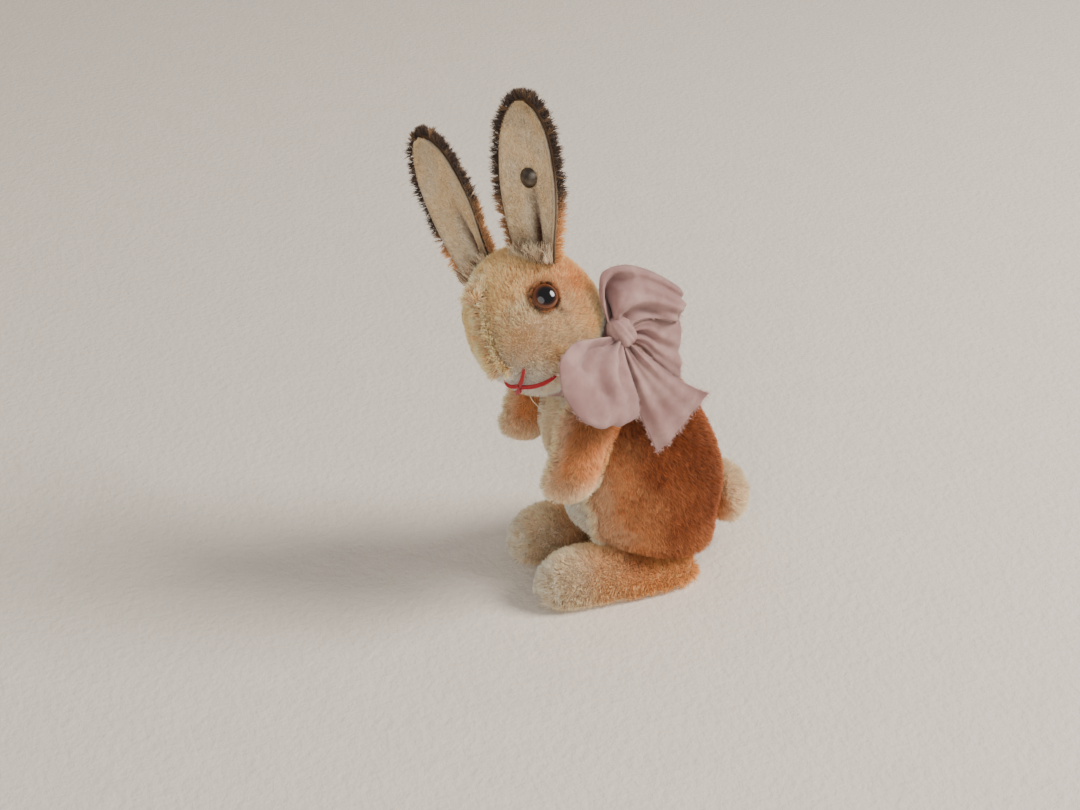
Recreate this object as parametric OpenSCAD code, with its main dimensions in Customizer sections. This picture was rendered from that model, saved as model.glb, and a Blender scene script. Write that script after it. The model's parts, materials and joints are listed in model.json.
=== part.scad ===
// Stuffed bunny rabbit: a small mohair rabbit that sits up and begs. Its head turns on a disc
// joint, its arms swing on one wire through the shoulders, and it wears a silk neck ribbon.
// It faces -Y, its left side is +X, and the origin is on the ground under its middle.

/* [Body] */
// Height of the neck joint's centre above the ground
neck_z = 66; // [62:1:76]
// Distance of the neck joint's centre in front of the origin
neck_ahead = 10.5; // [8:0.5:13]
// Lean of the neck joint's axis, forward from upright
neck_lean = 45; // [35:1:50]
// Radius of the body and of the head where they meet at the neck
neck_r = 8.6; // [7.5:0.1:10.5]
// Width of the body at the haunches
body_w = 35; // [29:0.5:42]
// Depth of the body at the haunches, from belly to back
body_d = 41; // [34:0.5:49]
// Thickness of the plush fabric without its pile
skin_t = 0.8; // [0.5:0.1:1]
// Length of the pile on the nose, which the stitches lie on
muzzle_pile = 0.9; // [0.5:0.1:1.5]

/* [Head] */
// Width of the head
head_w = 30; // [25:0.5:36]
// Length of the head, from the back of the skull to the nose
head_l = 33; // [28:0.5:39]
// Height of the head above the neck joint
head_h = 31; // [27:0.5:37]
// Turn of the head towards the rabbit's left, as it stands
head_turn = 42; // [0:1:60]

/* [Ears] */
// Length of each ear
ear_l = 35; // [29:1:42]
// Width of each ear's velvet lining
ear_w = 15; // [12:0.5:18]
// How far the mohair back stands out past the lining, all round
ear_border = 0.7; // [0.4:0.1:1.2]
// Thickness of each of the two layers of an ear
ear_t = 0.7; // [0.5:0.1:1]
// Outward lean of each ear
ear_splay = 14; // [8:1:18]
// Depth of the hollow along the middle of the ear
ear_cup = 2.2; // [1:0.1:3]

/* [Stud] */
// Diameter of the metal ear stud's head
stud_d = 4.8; // [4:0.1:6]
// Height of the stud's domed head
stud_h = 1.1; // [0.8:0.1:1.5]
// Diameter of the stud's shank
stud_shank_d = 1.4; // [1:0.1:1.8]
// Height of the stud above the ear's root
stud_up = 17.5; // [13:0.5:21]

/* [Eyes] */
// Diameter of each glass eye
eye_d = 6.2; // [5:0.1:7.4]
// Diameter of each pupil
pupil_d = 3.8; // [3:0.1:4.4]
// Diameter of the wire shank behind each eye
eye_wire_d = 0.9; // [0.6:0.1:1.2]

/* [Stitching] */
// Thickness of the red nose and mouth thread
thread_d = 0.9; // [0.6:0.1:1.2]
// Thickness of the single whisker
whisker_d = 0.3; // [0.2:0.05:0.4]

/* [Arms] */
// Length of each arm
arm_l = 26.5; // [22:0.5:31]
// Width of each arm, from its inner to its outer side
arm_w = 9; // [7.5:0.1:9.6]
// Depth of each arm, from front to back
arm_d = 12; // [10:0.1:14]
// Distance of each shoulder from the middle of the body
shoulder_x = 16; // [15.8:0.1:18]
// Height of the shoulders above the ground
shoulder_z = 54.5; // [52:0.5:60]
// Distance of the shoulders in front of the origin
shoulder_ahead = 11; // [9.5:0.5:12]
// Forward swing of the left arm from hanging straight down, as it stands
arm_left_swing = 9; // [4:1:90]
// Forward swing of the right arm from hanging straight down, as it stands
arm_right_swing = 9; // [4:1:90]
// Diameter of the wire through both shoulders
arm_wire_d = 1.2; // [1:0.1:1.6]

/* [Feet] */
// Length of each foot
foot_l = 41; // [36:1:50]
// Width of each foot
foot_w = 13.5; // [11:0.5:16]
// Height of each foot at the toes
foot_h = 12.5; // [11:0.5:14]
// Distance of each foot from the middle of the body
foot_x = 11; // [10:0.5:13]
// Distance of the heels behind the origin
heel_back = 20; // [18:0.5:24]
// Thickness of each card insole
insole_t = 0.6; // [0.4:0.1:1]

/* [Tail] */
// Width of the tail
tail_w = 10; // [8:0.5:12]
// Height of the tail, along the back
tail_h = 15; // [12:0.5:17]
// How far the tail stands out from the body
tail_out = 8; // [6.5:0.5:10]

/* [Joints] */
// Radius of the two hardboard discs in the neck
neck_disc_r = 7; // [6:0.1:7.3]
// Thickness of the hardboard discs
disc_t = 1.4; // [1:0.1:1.6]
// Diameter of the neck's split pin
neck_pin_d = 1.6; // [1.2:0.1:2]
// Radius of the steel washers at the ends of the pin
washer_r = 3; // [2.4:0.1:3.6]
// Thickness of the steel washers
washer_t = 0.5; // [0.4:0.1:0.8]
// Radius of the hardboard disc in each arm
arm_disc_r = 2; // [1.8:0.1:2.1]
// Running clearance between a wire or pin and its bore, on the radius
running_gap = 0.06; // [0.03:0.01:0.1]
// Gap between soft faces that move past each other
soft_gap = 0.45; // [0.4:0.05:0.6]

/* [Ribbon] */
// Thickness of the folded ribbon
ribbon_t = 0.6; // [0.4:0.1:0.8]
// Width of the ribbon where it is gathered round the neck
band_w = 3.2; // [2.4:0.1:3.6]
// Gap between the neck and the ribbon round it
band_gap = 2.9; // [2.6:0.1:3.6]
// Size of the knot
knot_size = 7; // [5.5:0.1:7.5]

/* [Hidden] */

$fn = 48;
seam_gap = 0.05;
stuffing_gap = 0.35;
half_turn = 180;
full_turn = 360;
belly_half_angle = 34;
pile_gold = "#d9b483";
pile_rust = "#b06a38";
pile_cream = "#eadcc0";
velvet = "#cbb89a";
board = "#a98d66";
steel = "#8d8f93";
silk = "#c9a3a3";
wool = "#e6dcc6";

// The middle of the whole outline seen from above, measured from the middle of the body. It is
// off to the right because the turned head carries the ears there.
outline_middle = [-6.26, -0.56];
neck = [0, -neck_ahead, neck_z];
shoulder = [shoulder_x, -shoulder_ahead, shoulder_z];
pin_hole_r = neck_pin_d / 2 + 0.7;
neck_half_gap = soft_gap / 2;

// A row of a form is one cross-section: [y, z, tilt, half width, half depth, egg]. The tilt is
// how far the section leans forward, and egg makes its front narrower than its back.
// The body's rows run from the seat to the neck, each a share of the way between the two.
seat = [17, 5.6];
neck_yz = [neck.y, neck.z];
axis_yz = [-sin(neck_lean), cos(neck_lean)];
function between(share, behind) = seat + (neck_yz - seat) * share + [behind, 0];
function body_row(share, behind, tilt, wide, deep, egg) =
    let (p = between(share, behind))
    [p.x, p.y, tilt, wide * body_w / 2, deep * body_d / 2, egg];
function neck_row(below, wide) =
    let (p = neck_yz - axis_yz * below)
    [p.x, p.y, neck_lean, wide, wide, 0];
body_rows = [
    body_row(0, 0, -16, 0.03, 0.03, 0),
    body_row(0.015, -0.6, -15, 0.5, 0.4, 0),
    body_row(0.09, -4.4, -15, 0.92, 0.9, 0),
    body_row(0.21, -1.8, -7, 1, 0.95, 0.05),
    body_row(0.37, 2.2, 2, 0.99, 1, 0.06),
    body_row(0.57, 3.2, 13, 0.82, 0.95, 0.05),
    body_row(0.76, 1.9, 28, 0.63, 0.8, 0.02),
    neck_row(5.5, neck_r + 1.9),
    neck_row(1.6, neck_r + 0.9),
    neck_row(neck_half_gap + 0.1, neck_r - 0.6),
    neck_row(neck_half_gap, pin_hole_r)];

// The head's rows run from the neck joint to the crown, in a frame whose Z is the neck's axis
// and whose -Y points to the nose.
function head_row(up, ahead, wide, deep, egg) =
    [-ahead, up * head_h, 0, wide * head_w / 2, deep * head_l / 2, egg];
head_rows = [
    [0, neck_half_gap, 0, pin_hole_r, pin_hole_r, 0],
    [0, neck_half_gap + 0.1, 0, neck_r - 0.6, neck_r - 0.6, 0],
    [0, 2, 0, neck_r + 2, neck_r + 2, 0.02],
    head_row(0.2, 0.3, 0.92, 0.89, 0.06),
    head_row(0.4, 0.2, 1, 0.97, 0.12),
    head_row(0.58, 0.3, 0.98, 0.98, 0.12),
    head_row(0.74, -0.4, 0.86, 0.85, 0.08),
    head_row(0.88, -1.3, 0.62, 0.61, 0.04),
    head_row(0.97, -1.7, 0.33, 0.32, 0),
    head_row(1, -1.8, 0.03, 0.03, 0)];

// The arm's rows run from the paw to the top of the shoulder, with the joint at their origin.
arm_up = 5.2;
function arm_row(share, ahead, wide, deep) =
    [-ahead, arm_up - arm_l * (1 - share), 0, wide * arm_w / 2, deep * arm_d / 2, 0];
arm_rows = [
    arm_row(0, 3.4, 0.05, 0.05),
    arm_row(0.03, 3.4, 0.5, 0.52),
    arm_row(0.14, 3.3, 0.92, 0.96),
    arm_row(0.32, 2.5, 0.98, 0.98),
    arm_row(0.55, 1.8, 0.96, 0.94),
    arm_row(0.8, 1.4, 1, 1),
    arm_row(0.93, 1.2, 0.84, 0.74),
    arm_row(0.99, 1.2, 0.4, 0.34),
    arm_row(1, 1.2, 0.05, 0.05)];

// The foot's rows run from the heel to the toes, in upright sections whose angle 0 is the sole.
foot_tilt = 90;
foot_round = 0.62;
function foot_row(share, wide, top) =
    [heel_back - share * foot_l, top * foot_h * (1 - foot_round), foot_tilt,
     wide * foot_w / 2, top * foot_h * foot_round, 0];
foot_rows = [
    foot_row(0, 0.14, 0.24),
    foot_row(0.04, 0.6, 0.38),
    foot_row(0.16, 0.9, 0.45),
    foot_row(0.36, 1, 0.66),
    foot_row(0.58, 1, 0.98),
    foot_row(0.78, 0.98, 1.06),
    foot_row(0.91, 0.86, 0.98),
    foot_row(0.98, 0.52, 0.74),
    foot_row(1, 0.16, 0.5)];
foot_seam = 62;

// Smooth value a part of the way, s, along a list of rows
function spline(rows, s) =
    let (
        i = max(0, min(floor(s), len(rows) - 2)),
        t = s - i,
        b = rows[i],
        c = rows[i + 1],
        a = i > 0 ? rows[i - 1] : b,
        d = i + 2 < len(rows) ? rows[i + 2] : c)
    0.5 * (2 * b + (c - a) * t + (2 * a - 5 * b + 4 * c - d) * t * t
        + (3 * b - a - 3 * c + d) * t * t * t);

// Point on a form, at row s and at angle a round it from its front
function form_point(rows, s, a) =
    let (r = spline(rows, s), ahead = -r[4] * cos(a))
    [r[3] * sin(a) * (1 - r[5] * cos(a)), r[0] + ahead * cos(r[2]), r[1] + ahead * sin(r[2])];
function unit(v) = v / norm(v);
function form_normal(rows, s, a) =
    let (
        e = 0.04,
        last = len(rows) - 1,
        along = form_point(rows, min(s + e, last), a) - form_point(rows, max(s - e, 0), a),
        round = form_point(rows, s, a + 2) - form_point(rows, s, a - 2))
    unit(cross(round, along));
function form_offset(rows, s, a, out, low) =
    let (p = form_point(rows, s, a) + out * form_normal(rows, s, a))
    [p.x, p.y, max(p.z, low)];

// Grid of points over a form, between two angles
function form_grid(rows, a0, a1, ns, na, out, low = -full_turn) =
    [for (i = [0:ns], j = [0:na])
        form_offset(rows, (len(rows) - 1) * i / ns, a0 + (a1 - a0) * j / na, out, low)];

// Two triangles for a face with four corners
function quad(a, b, c, d) = [[a, b, c], [a, c, d]];

// Closed solid between an outer and an inner grid of ns by na cells
module between_grids(outer, inner, ns, na) {
    w = na + 1;
    k = len(outer);
    polyhedron(points = concat(outer, inner), convexity = 6, faces = concat(
        [for (i = [0:ns - 1], j = [0:na - 1])
            let (q = i * w + j) each quad(q, q + w, q + w + 1, q + 1)],
        [for (i = [0:ns - 1], j = [0:na - 1])
            let (q = k + i * w + j) each quad(q, q + 1, q + w + 1, q + w)],
        [for (i = [0:ns - 1])
            let (q = i * w) each quad(q + w, q, k + q, k + q + w)],
        [for (i = [0:ns - 1])
            let (q = i * w + na) each quad(q, q + w, k + q + w, k + q)],
        [for (j = [0:na - 1]) each quad(j, j + 1, k + j + 1, k + j)],
        [for (j = [0:na - 1])
            let (q = ns * w + j) each quad(q + 1, q, k + q, k + q + 1)]));
}

// Fabric panel of a form, between two angles, as thick as the skin
module panel(rows, a0, a1, ns, na, low = -full_turn) {
    between_grids(
        form_grid(rows, a0, a1, ns, na, 0, low),
        form_grid(rows, a0, a1, ns, na, -skin_t, low + skin_t), ns, na);
}

// Solid filling of a form, inset inside its skin, from row share s0 to s1
module filling(rows, inset, ns, na, s0, s1, low = -full_turn) {
    last = len(rows) - 1;
    points = [for (i = [0:ns], j = [0:na - 1])
        form_offset(rows, last * (s0 + (s1 - s0) * i / ns), full_turn * j / na, -inset, low)];
    share = [for (j = [0:na - 1]) 1 / na];
    ends = [for (i = [0, ns]) share * [for (j = [0:na - 1]) points[i * na + j]]];
    k = len(points);
    polyhedron(points = concat(points, ends), convexity = 4, faces = concat(
        [for (i = [0:ns - 1], j = [0:na - 1])
            let (a = i * na + j, b = i * na + (j + 1) % na) each quad(a, a + na, b + na, b)],
        [for (j = [0:na - 1]) [j, (j + 1) % na, k]],
        [for (j = [0:na - 1]) [ns * na + (j + 1) % na, ns * na + j, k + 1]]));
}

// Round thread along a list of points
module thread(points, d, sides = 6) {
    n = len(points) - 1;
    rings = [for (i = [0:n]) let (
            t = unit(points[min(i + 1, n)] - points[max(i - 1, 0)]),
            u = unit(cross(t, abs(t.z) > 0.8 ? [1, 0, 0] : [0, 0, 1])),
            v = cross(t, u))
        for (j = [0:sides - 1])
            points[i] + (u * cos(full_turn * j / sides) + v * sin(full_turn * j / sides)) * d / 2];
    polyhedron(points = rings, convexity = 6, faces = concat(
        [for (i = [0:n - 1], j = [0:sides - 1])
            let (a = i * sides + j, b = i * sides + (j + 1) % sides)
            each quad(a, a + sides, b + sides, b)],
        [[for (j = [0:sides - 1]) j]],
        [[for (j = [sides - 1:-1:0]) n * sides + j]]));
}

// Ribbon from a list of rows, each with the two edges of the ribbon: [x, y, z, x, y, z]
module ribbon(rows, steps, across = 4) {
    last = len(rows) - 1;
    ns = steps * last;
    function edge_point(s, v) =
        let (r = spline(rows, s)) [r[0], r[1], r[2]] * (1 - v) + [r[3], r[4], r[5]] * v;
    function side_point(s, v, out) =
        let (
            along = edge_point(min(s + 0.1, last), v) - edge_point(max(s - 0.1, 0), v),
            wide = edge_point(s, 1) - edge_point(s, 0))
        edge_point(s, v) + unit(cross(wide, along)) * out;
    between_grids(
        [for (i = [0:ns], j = [0:across]) side_point(i / steps, j / across, ribbon_t / 2)],
        [for (i = [0:ns], j = [0:across]) side_point(i / steps, j / across, -ribbon_t / 2)],
        ns, across);
}

module centred() {
    translate([-outline_middle.x, -outline_middle.y, 0]) children();
}

module at_neck() {
    translate(neck) rotate([neck_lean, 0, 0]) children();
}

module in_head() {
    at_neck() rotate([0, 0, head_turn]) children();
}

// Turns Z to point along a direction, at a point
module aim(point, direction) {
    translate(point)
        rotate([0, acos(direction.z), atan2(direction.y, direction.x)]) children();
}

// ---- Body ----
body_ns = 18;
side_na = 10;
belly_na = 5;

// Shoulder wire's channel, cut from whatever it passes through
module wire_channel(r) {
    translate([-shoulder_x, shoulder.y, shoulder.z]) rotate([0, 90, 0])
        cylinder(r = r, h = 2 * shoulder_x);
}

module body_side_left() {
    color(pile_rust) centred() difference() {
        panel(body_rows, belly_half_angle, half_turn, body_ns, side_na);
        wire_channel(arm_wire_d / 2 + 0.2);
    }
}

module body_side_right() {
    color(pile_rust) centred() mirror([1, 0, 0]) difference() {
        panel(body_rows, belly_half_angle, half_turn, body_ns, side_na);
        wire_channel(arm_wire_d / 2 + 0.2);
    }
}

module belly_panel() {
    color(pile_cream) centred()
        panel(body_rows, -belly_half_angle, belly_half_angle, body_ns, belly_na);
}

module body_stuffing() {
    top = neck_half_gap + skin_t + 2 * disc_t + washer_t + 3;
    color(wool) centred() difference() {
        filling(body_rows, skin_t + stuffing_gap, 14, 20, 0.06, 0.88);
        wire_channel(arm_wire_d / 2 + 0.2);
        at_neck() translate([0, 0, -top]) cylinder(r = neck_disc_r + 0.3, h = top);
    }
}

// ---- Head ----
head_ns = 16;
head_na = 11;
eye_row = 5.95;
eye_angle = 82.5;
eye_point = form_point(head_rows, eye_row, eye_angle);
eye_normal = form_normal(head_rows, eye_row, eye_angle);
eye_channel_d = eye_wire_d + 0.3;
eye_shank_l = 6;

// Things that repeat on the two sides of the head
module at_eye(side) {
    mirror([side < 0 ? 1 : 0, 0, 0]) aim(eye_point, eye_normal) children();
}

module head_panel() {
    difference() {
        panel(head_rows, 0, half_turn, head_ns, head_na);
        at_eye(1) translate([0, 0, -eye_shank_l]) cylinder(d = eye_channel_d, h = 2 * eye_shank_l);
    }
}

module head_side_left() {
    color(pile_gold) centred() in_head() head_panel();
}

module head_side_right() {
    color(pile_gold) centred() in_head() mirror([1, 0, 0]) head_panel();
}

module head_stuffing() {
    hollow = neck_half_gap + skin_t + disc_t + washer_t + 2.5;
    color(wool) centred() in_head() difference() {
        filling(head_rows, skin_t + stuffing_gap, 12, 20, 0.18, 0.97);
        cylinder(r = neck_disc_r + 0.3, h = hollow);
        for (side = [-1, 1])
            at_eye(side) translate([0, 0, -eye_shank_l - 1])
                cylinder(d = eye_channel_d + 0.4, h = 2 * eye_shank_l);
    }
}

// ---- Ears ----
// An ear stands on its root at the origin, with its hollow side towards -Y.
ear_ns = 14;
ear_na = 8;
ear_lean = 45;
ear_face = 6;
ear_root_row = 6.55;
ear_root_angle = 132;
ear_root_gap = 1.6;
ear_root = form_offset(head_rows, ear_root_row, ear_root_angle, ear_root_gap, -full_turn);
ear_root_drop = 3;
ear_rows = [[0.66, 1], [0.8, 1.2], [0.97, 0.9], [1, 0.7], [0.86, 0.5], [0.52, 0.3], [0.12, 0.15]];
ear_heights = [0, 0.15, 0.35, 0.55, 0.78, 0.93, 1];

function ear_point(s, v, extra, out) =
    let (
        r = spline([for (i = [0:len(ear_rows) - 1])
            [ear_heights[i], ear_rows[i].x, ear_rows[i].y]], s),
        foot = -ear_root_drop * (v + 1) / 2,
        wide = r[1] * ear_w / 2 + extra,
        deep = r[2] * ear_cup)
    [v * wide, deep * (0.4 - v * v) + out, foot + r[0] * (ear_l + extra - foot)];
function ear_grid(extra, out) =
    [for (i = [0:ear_ns], j = [0:ear_na])
        ear_point((len(ear_rows) - 1) * i / ear_ns, 2 * j / ear_na - 1, extra, out)];

module ear_layer(extra, front, back) {
    between_grids(ear_grid(extra, front), ear_grid(extra, back), ear_ns, ear_na);
}

module at_ear(side) {
    in_head() mirror([side < 0 ? 1 : 0, 0, 0])
        translate(ear_root) rotate([-ear_lean, 0, 0])
        rotate([0, ear_splay, 0]) rotate([0, 0, ear_face]) children();
}

// Place of the stud on the ear's hollow side
stud_y = ear_point((len(ear_rows) - 1) / 2, 0, 0, 0).y;
stud_hole_d = stud_shank_d + 0.1;
module stud_bore() {
    translate([0, stud_y - 3, stud_up]) rotate([-90, 0, 0]) cylinder(d = stud_hole_d, h = 6);
}

module ear_back_left() {
    color(pile_gold) centred() at_ear(1) difference() {
        ear_layer(ear_border, ear_t / 2 + seam_gap, ear_t * 1.5);
        stud_bore();
    }
}

module ear_back_right() {
    color(pile_gold) centred() at_ear(-1) ear_layer(ear_border, ear_t / 2 + seam_gap, ear_t * 1.5);
}

module ear_lining_left() {
    color(velvet) centred() at_ear(1) difference() {
        ear_layer(0, -ear_t / 2, ear_t / 2);
        stud_bore();
    }
}

module ear_lining_right() {
    color(velvet) centred() at_ear(-1) ear_layer(0, -ear_t / 2, ear_t / 2);
}

// Plain, smooth domed stud with its shank, and the plain washer behind the ear
stud_seat_y = stud_y - ear_t / 2 - 0.45;
stud_washer_y = stud_y + ear_t * 1.5 + 0.5;
module ear_stud() {
    ball_r = (pow(stud_d / 2, 2) + pow(stud_h, 2)) / (2 * stud_h);
    color(steel) centred() at_ear(1) translate([0, stud_seat_y, stud_up]) rotate([90, 0, 0]) union() {
        intersection() {
            translate([0, 0, stud_h - ball_r]) sphere(r = ball_r);
            cylinder(d = stud_d, h = stud_h);
        }
        translate([0, 0, -(stud_washer_y - stud_seat_y) - washer_t])
            cylinder(d = stud_shank_d, h = stud_washer_y - stud_seat_y + washer_t + 0.2);
    }
}

module ear_stud_washer() {
    color(steel) centred() at_ear(1) translate([0, stud_washer_y, stud_up]) rotate([-90, 0, 0])
        difference() {
            cylinder(d = stud_d - 1, h = washer_t);
            translate([0, 0, -1]) cylinder(d = stud_shank_d + 0.02, h = washer_t + 2);
        }
}

// ---- Eyes ----
// Each eye is a low glass button with a black pupil let into its front and a wire behind it.
eye_h = 1.9;
pupil_h = 0.9;
module eye_glass() {
    translate([0, 0, seam_gap]) difference() {
        intersection() {
            translate([0, 0, eye_h - eye_d / 2]) sphere(d = eye_d);
            cylinder(d = eye_d + 1, h = eye_h);
        }
        translate([0, 0, eye_h - pupil_h]) cylinder(d = pupil_d, h = pupil_h + 1);
        translate([0, 0, -1]) cylinder(d = eye_wire_d, h = 1.6);
    }
}

module eye_glass_left() {
    color("#a5612c") centred() in_head() at_eye(1) eye_glass();
}

module eye_glass_right() {
    color("#a5612c") centred() in_head() at_eye(-1) eye_glass();
}

module eye_pupils() {
    pupil_ball = 7;
    color("#141414") centred() in_head() for (side = [-1, 1])
        at_eye(side) translate([0, 0, seam_gap + eye_h - pupil_h]) intersection() {
            cylinder(d = pupil_d - 0.02, h = pupil_h + 0.5);
            translate([0, 0, pupil_h + 0.3 - pupil_ball]) sphere(r = pupil_ball);
        }
}

module eye_shanks() {
    color(steel) centred() in_head() for (side = [-1, 1])
        at_eye(side) translate([0, 0, -eye_shank_l]) union() {
            cylinder(d = eye_wire_d - 0.02, h = eye_shank_l + 0.6);
            translate([0, 0, -0.2]) sphere(d = eye_wire_d + 0.4);
        }
}

// ---- Stitching ----
// A stitch lies on the pile between two places on the head, each [row, angle].
stitch_steps = 5;
nose_start = [4.05, 2];
nose_ends = [[4.68, 22], [4.36, -12]];
mouth_start = [3.92, 2];
mouth_ends = [[3.42, 34], [3.2, -28]];
function stitch(from, to, lift) =
    [for (i = [0:stitch_steps])
        let (p = from + (to - from) * i / stitch_steps)
        form_offset(head_rows, p.x, p.y, muzzle_pile + lift, -full_turn)];

module nose_stitching() {
    color("#b3262b") centred() in_head() for (end = nose_ends)
        thread(stitch(nose_start + [0.06, sign(end.y) * 2.4], end, thread_d / 2), thread_d);
}

module mouth_stitching() {
    color("#b3262b") centred() in_head() for (end = mouth_ends)
        thread(stitch(mouth_start + [0, sign(end.y) * 2.4], end, thread_d / 2), thread_d);
}

whisker = [[-3.2, -15.2, 6], [-3.2, -16.2, 4.4], [-2.7, -16.9, 2.4], [-1.8, -17.2, 0.6],
    [-0.6, -17, -0.8]];
module whisker_thread() {
    color("#d8c49a") centred() in_head() thread(whisker, whisker_d);
}

// ---- Arms ----
arm_ns = 13;
arm_na = 8;

module at_arm(side) {
    swing = side > 0 ? arm_left_swing : arm_right_swing;
    mirror([side < 0 ? 1 : 0, 0, 0]) translate(shoulder) rotate([-swing, 0, 0]) children();
}

module arm_panel(side, inner) {
    start = inner ? half_turn : 0;
    at_arm(side) difference() {
        panel(arm_rows, start, start + half_turn, arm_ns, arm_na);
        if (inner)
            rotate([0, -90, 0]) cylinder(r = arm_wire_d / 2 + 0.3, h = arm_w);
    }
}

arm_disc_t = 1;
arm_disc_x = -arm_w / 2 + skin_t + 1.1;
module arm_stuffing(side) {
    at_arm(side) difference() {
        filling(arm_rows, skin_t + stuffing_gap, 10, 12, 0.05, 0.95);
        translate([-arm_w, 0, 0]) rotate([0, 90, 0])
            cylinder(r = arm_disc_r + 0.15, h = arm_w + arm_disc_x + arm_disc_t + washer_t + 1);
    }
}

module arm_disc(side) {
    at_arm(side) translate([arm_disc_x, 0, 0]) rotate([0, 90, 0]) difference() {
        cylinder(r = arm_disc_r, h = arm_disc_t);
        translate([0, 0, -1]) cylinder(d = arm_wire_d + 2 * running_gap, h = arm_disc_t + 2);
    }
}

module arm_outer_left() {
    color(pile_gold) centred() arm_panel(1, false);
}

module arm_inner_left() {
    color(pile_cream) centred() arm_panel(1, true);
}

module arm_stuffing_left() {
    color(wool) centred() arm_stuffing(1);
}

module arm_disc_left() {
    color(board) centred() arm_disc(1);
}

module arm_outer_right() {
    color(pile_gold) centred() arm_panel(-1, false);
}

module arm_inner_right() {
    color(pile_cream) centred() arm_panel(-1, true);
}

module arm_stuffing_right() {
    color(wool) centred() arm_stuffing(-1);
}

module arm_disc_right() {
    color(board) centred() arm_disc(-1);
}

// The wire ends just outside the washers, where it is nipped over.
wire_half = shoulder_x + arm_disc_x + arm_disc_t + washer_t + 0.3;
module arm_wire() {
    color(steel) centred() translate([-wire_half, shoulder.y, shoulder.z]) rotate([0, 90, 0])
        cylinder(d = arm_wire_d, h = 2 * wire_half);
}

module arm_washers() {
    color(steel) centred() for (side = [-1, 1])
        translate([side * (wire_half - 0.2), shoulder.y, shoulder.z]) rotate([0, -side * 90, 0])
            difference() {
                cylinder(d = arm_wire_d + 1.2, h = washer_t);
                translate([0, 0, -1]) cylinder(d = arm_wire_d, h = washer_t + 2);
            }
}

// ---- Neck joint ----
disc_rise = neck_half_gap + skin_t + 0.15;
module neck_disc(r) {
    difference() {
        cylinder(r = r, h = disc_t);
        translate([0, 0, -1]) cylinder(d = neck_pin_d + 2 * running_gap, h = disc_t + 2);
    }
}

module neck_disc_body() {
    color(board) centred() at_neck() translate([0, 0, -disc_rise - disc_t]) neck_disc(neck_disc_r);
}

module neck_disc_head() {
    color(board) centred() at_neck() translate([0, 0, disc_rise]) neck_disc(neck_disc_r);
}

// The split pin's two legs are spread beyond the washers, drawn as a plain head at each end.
pin_half = disc_rise + disc_t + 0.1 + washer_t;
module neck_pin() {
    pin_end = 0.9;
    color(steel) centred() at_neck() union() {
        translate([0, 0, -pin_half - pin_end])
            cylinder(d = neck_pin_d, h = 2 * (pin_half + pin_end));
        for (end = [-1, 1])
            translate([0, 0, end * (pin_half + pin_end / 2 + 0.02) - pin_end / 2])
                cylinder(d = neck_pin_d * 1.9, h = pin_end);
    }
}

module neck_washers() {
    color(steel) centred() at_neck() for (end = [-1, 1])
        translate([0, 0, end * (pin_half - washer_t / 2) - washer_t / 2]) difference() {
            cylinder(r = washer_r, h = washer_t);
            translate([0, 0, -1]) cylinder(d = neck_pin_d + 2 * running_gap, h = washer_t + 2);
        }
}

// ---- Feet ----
foot_ns = 14;
upper_na = 10;

module at_foot(side) {
    translate([side * foot_x, 0, 0]) children();
}

module foot_upper(side) {
    color(pile_cream) centred() at_foot(side)
        panel(foot_rows, foot_seam, full_turn - foot_seam, foot_ns, upper_na, skin_t + seam_gap);
}

// The flat sole is cut to the foot's outline at the seam.
module foot_sole(side) {
    last = len(foot_rows) - 1;
    edge = [for (i = [0:foot_ns]) form_point(foot_rows, last * i / foot_ns, foot_seam)];
    color(velvet) centred() at_foot(side) linear_extrude(skin_t) polygon(concat(
        [for (p = edge) [p.x, p.y]], [for (i = [foot_ns:-1:0]) [-edge[i].x, edge[i].y]]));
}

insole_z = skin_t + stuffing_gap;
module foot_insole(side) {
    color(board) centred() at_foot(side)
        translate([0, heel_back - foot_l * 0.55, insole_z])
        linear_extrude(insole_t) scale([foot_w * 0.32, foot_l * 0.34]) circle(r = 1);
}

module foot_stuffing(side) {
    color(wool) centred() at_foot(side)
        filling(foot_rows, skin_t + stuffing_gap, 10, 12, 0.16, 0.9,
            insole_z + insole_t + stuffing_gap);
}

module foot_upper_left() {
    foot_upper(1);
}

module foot_sole_left() {
    foot_sole(1);
}

module foot_insole_left() {
    foot_insole(1);
}

module foot_stuffing_left() {
    foot_stuffing(1);
}

module foot_upper_right() {
    foot_upper(-1);
}

module foot_sole_right() {
    foot_sole(-1);
}

module foot_insole_right() {
    foot_insole(-1);
}

module foot_stuffing_right() {
    foot_stuffing(-1);
}

// ---- Tail ----
tail_row = 2.9;
tail_gap = 0.5;
tail_rows = [
    [0, 0, 0, 0.06, 0.06, 0], [0, 0.06, 0, 0.5, 0.5, 0], [0, 0.3, 0, 0.9, 0.9, 0],
    [0, 0.55, 0, 1, 1, 0], [0, 0.82, 0, 0.74, 0.74, 0], [0, 0.96, 0, 0.36, 0.36, 0],
    [0, 1, 0, 0.05, 0.05, 0]];
module tail() {
    sized = [for (r = tail_rows) [r[0], r[1] * tail_out, 0, r[3] * tail_h / 2, r[4] * tail_w / 2, 0]];
    color(pile_cream) centred()
        aim(form_offset(body_rows, tail_row, half_turn, tail_gap, 0),
            unit(form_normal(body_rows, tail_row, half_turn) + [0, 0, 0.25]))
        filling(sized, 0, 10, 14, 0, 1);
}

// ---- Ribbon ----
module ribbon_band() {
    band_r = neck_r + band_gap;
    color(silk) centred() at_neck() rotate_extrude()
        translate([band_r, -band_w / 2]) square([ribbon_t, band_w]);
}

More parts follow.
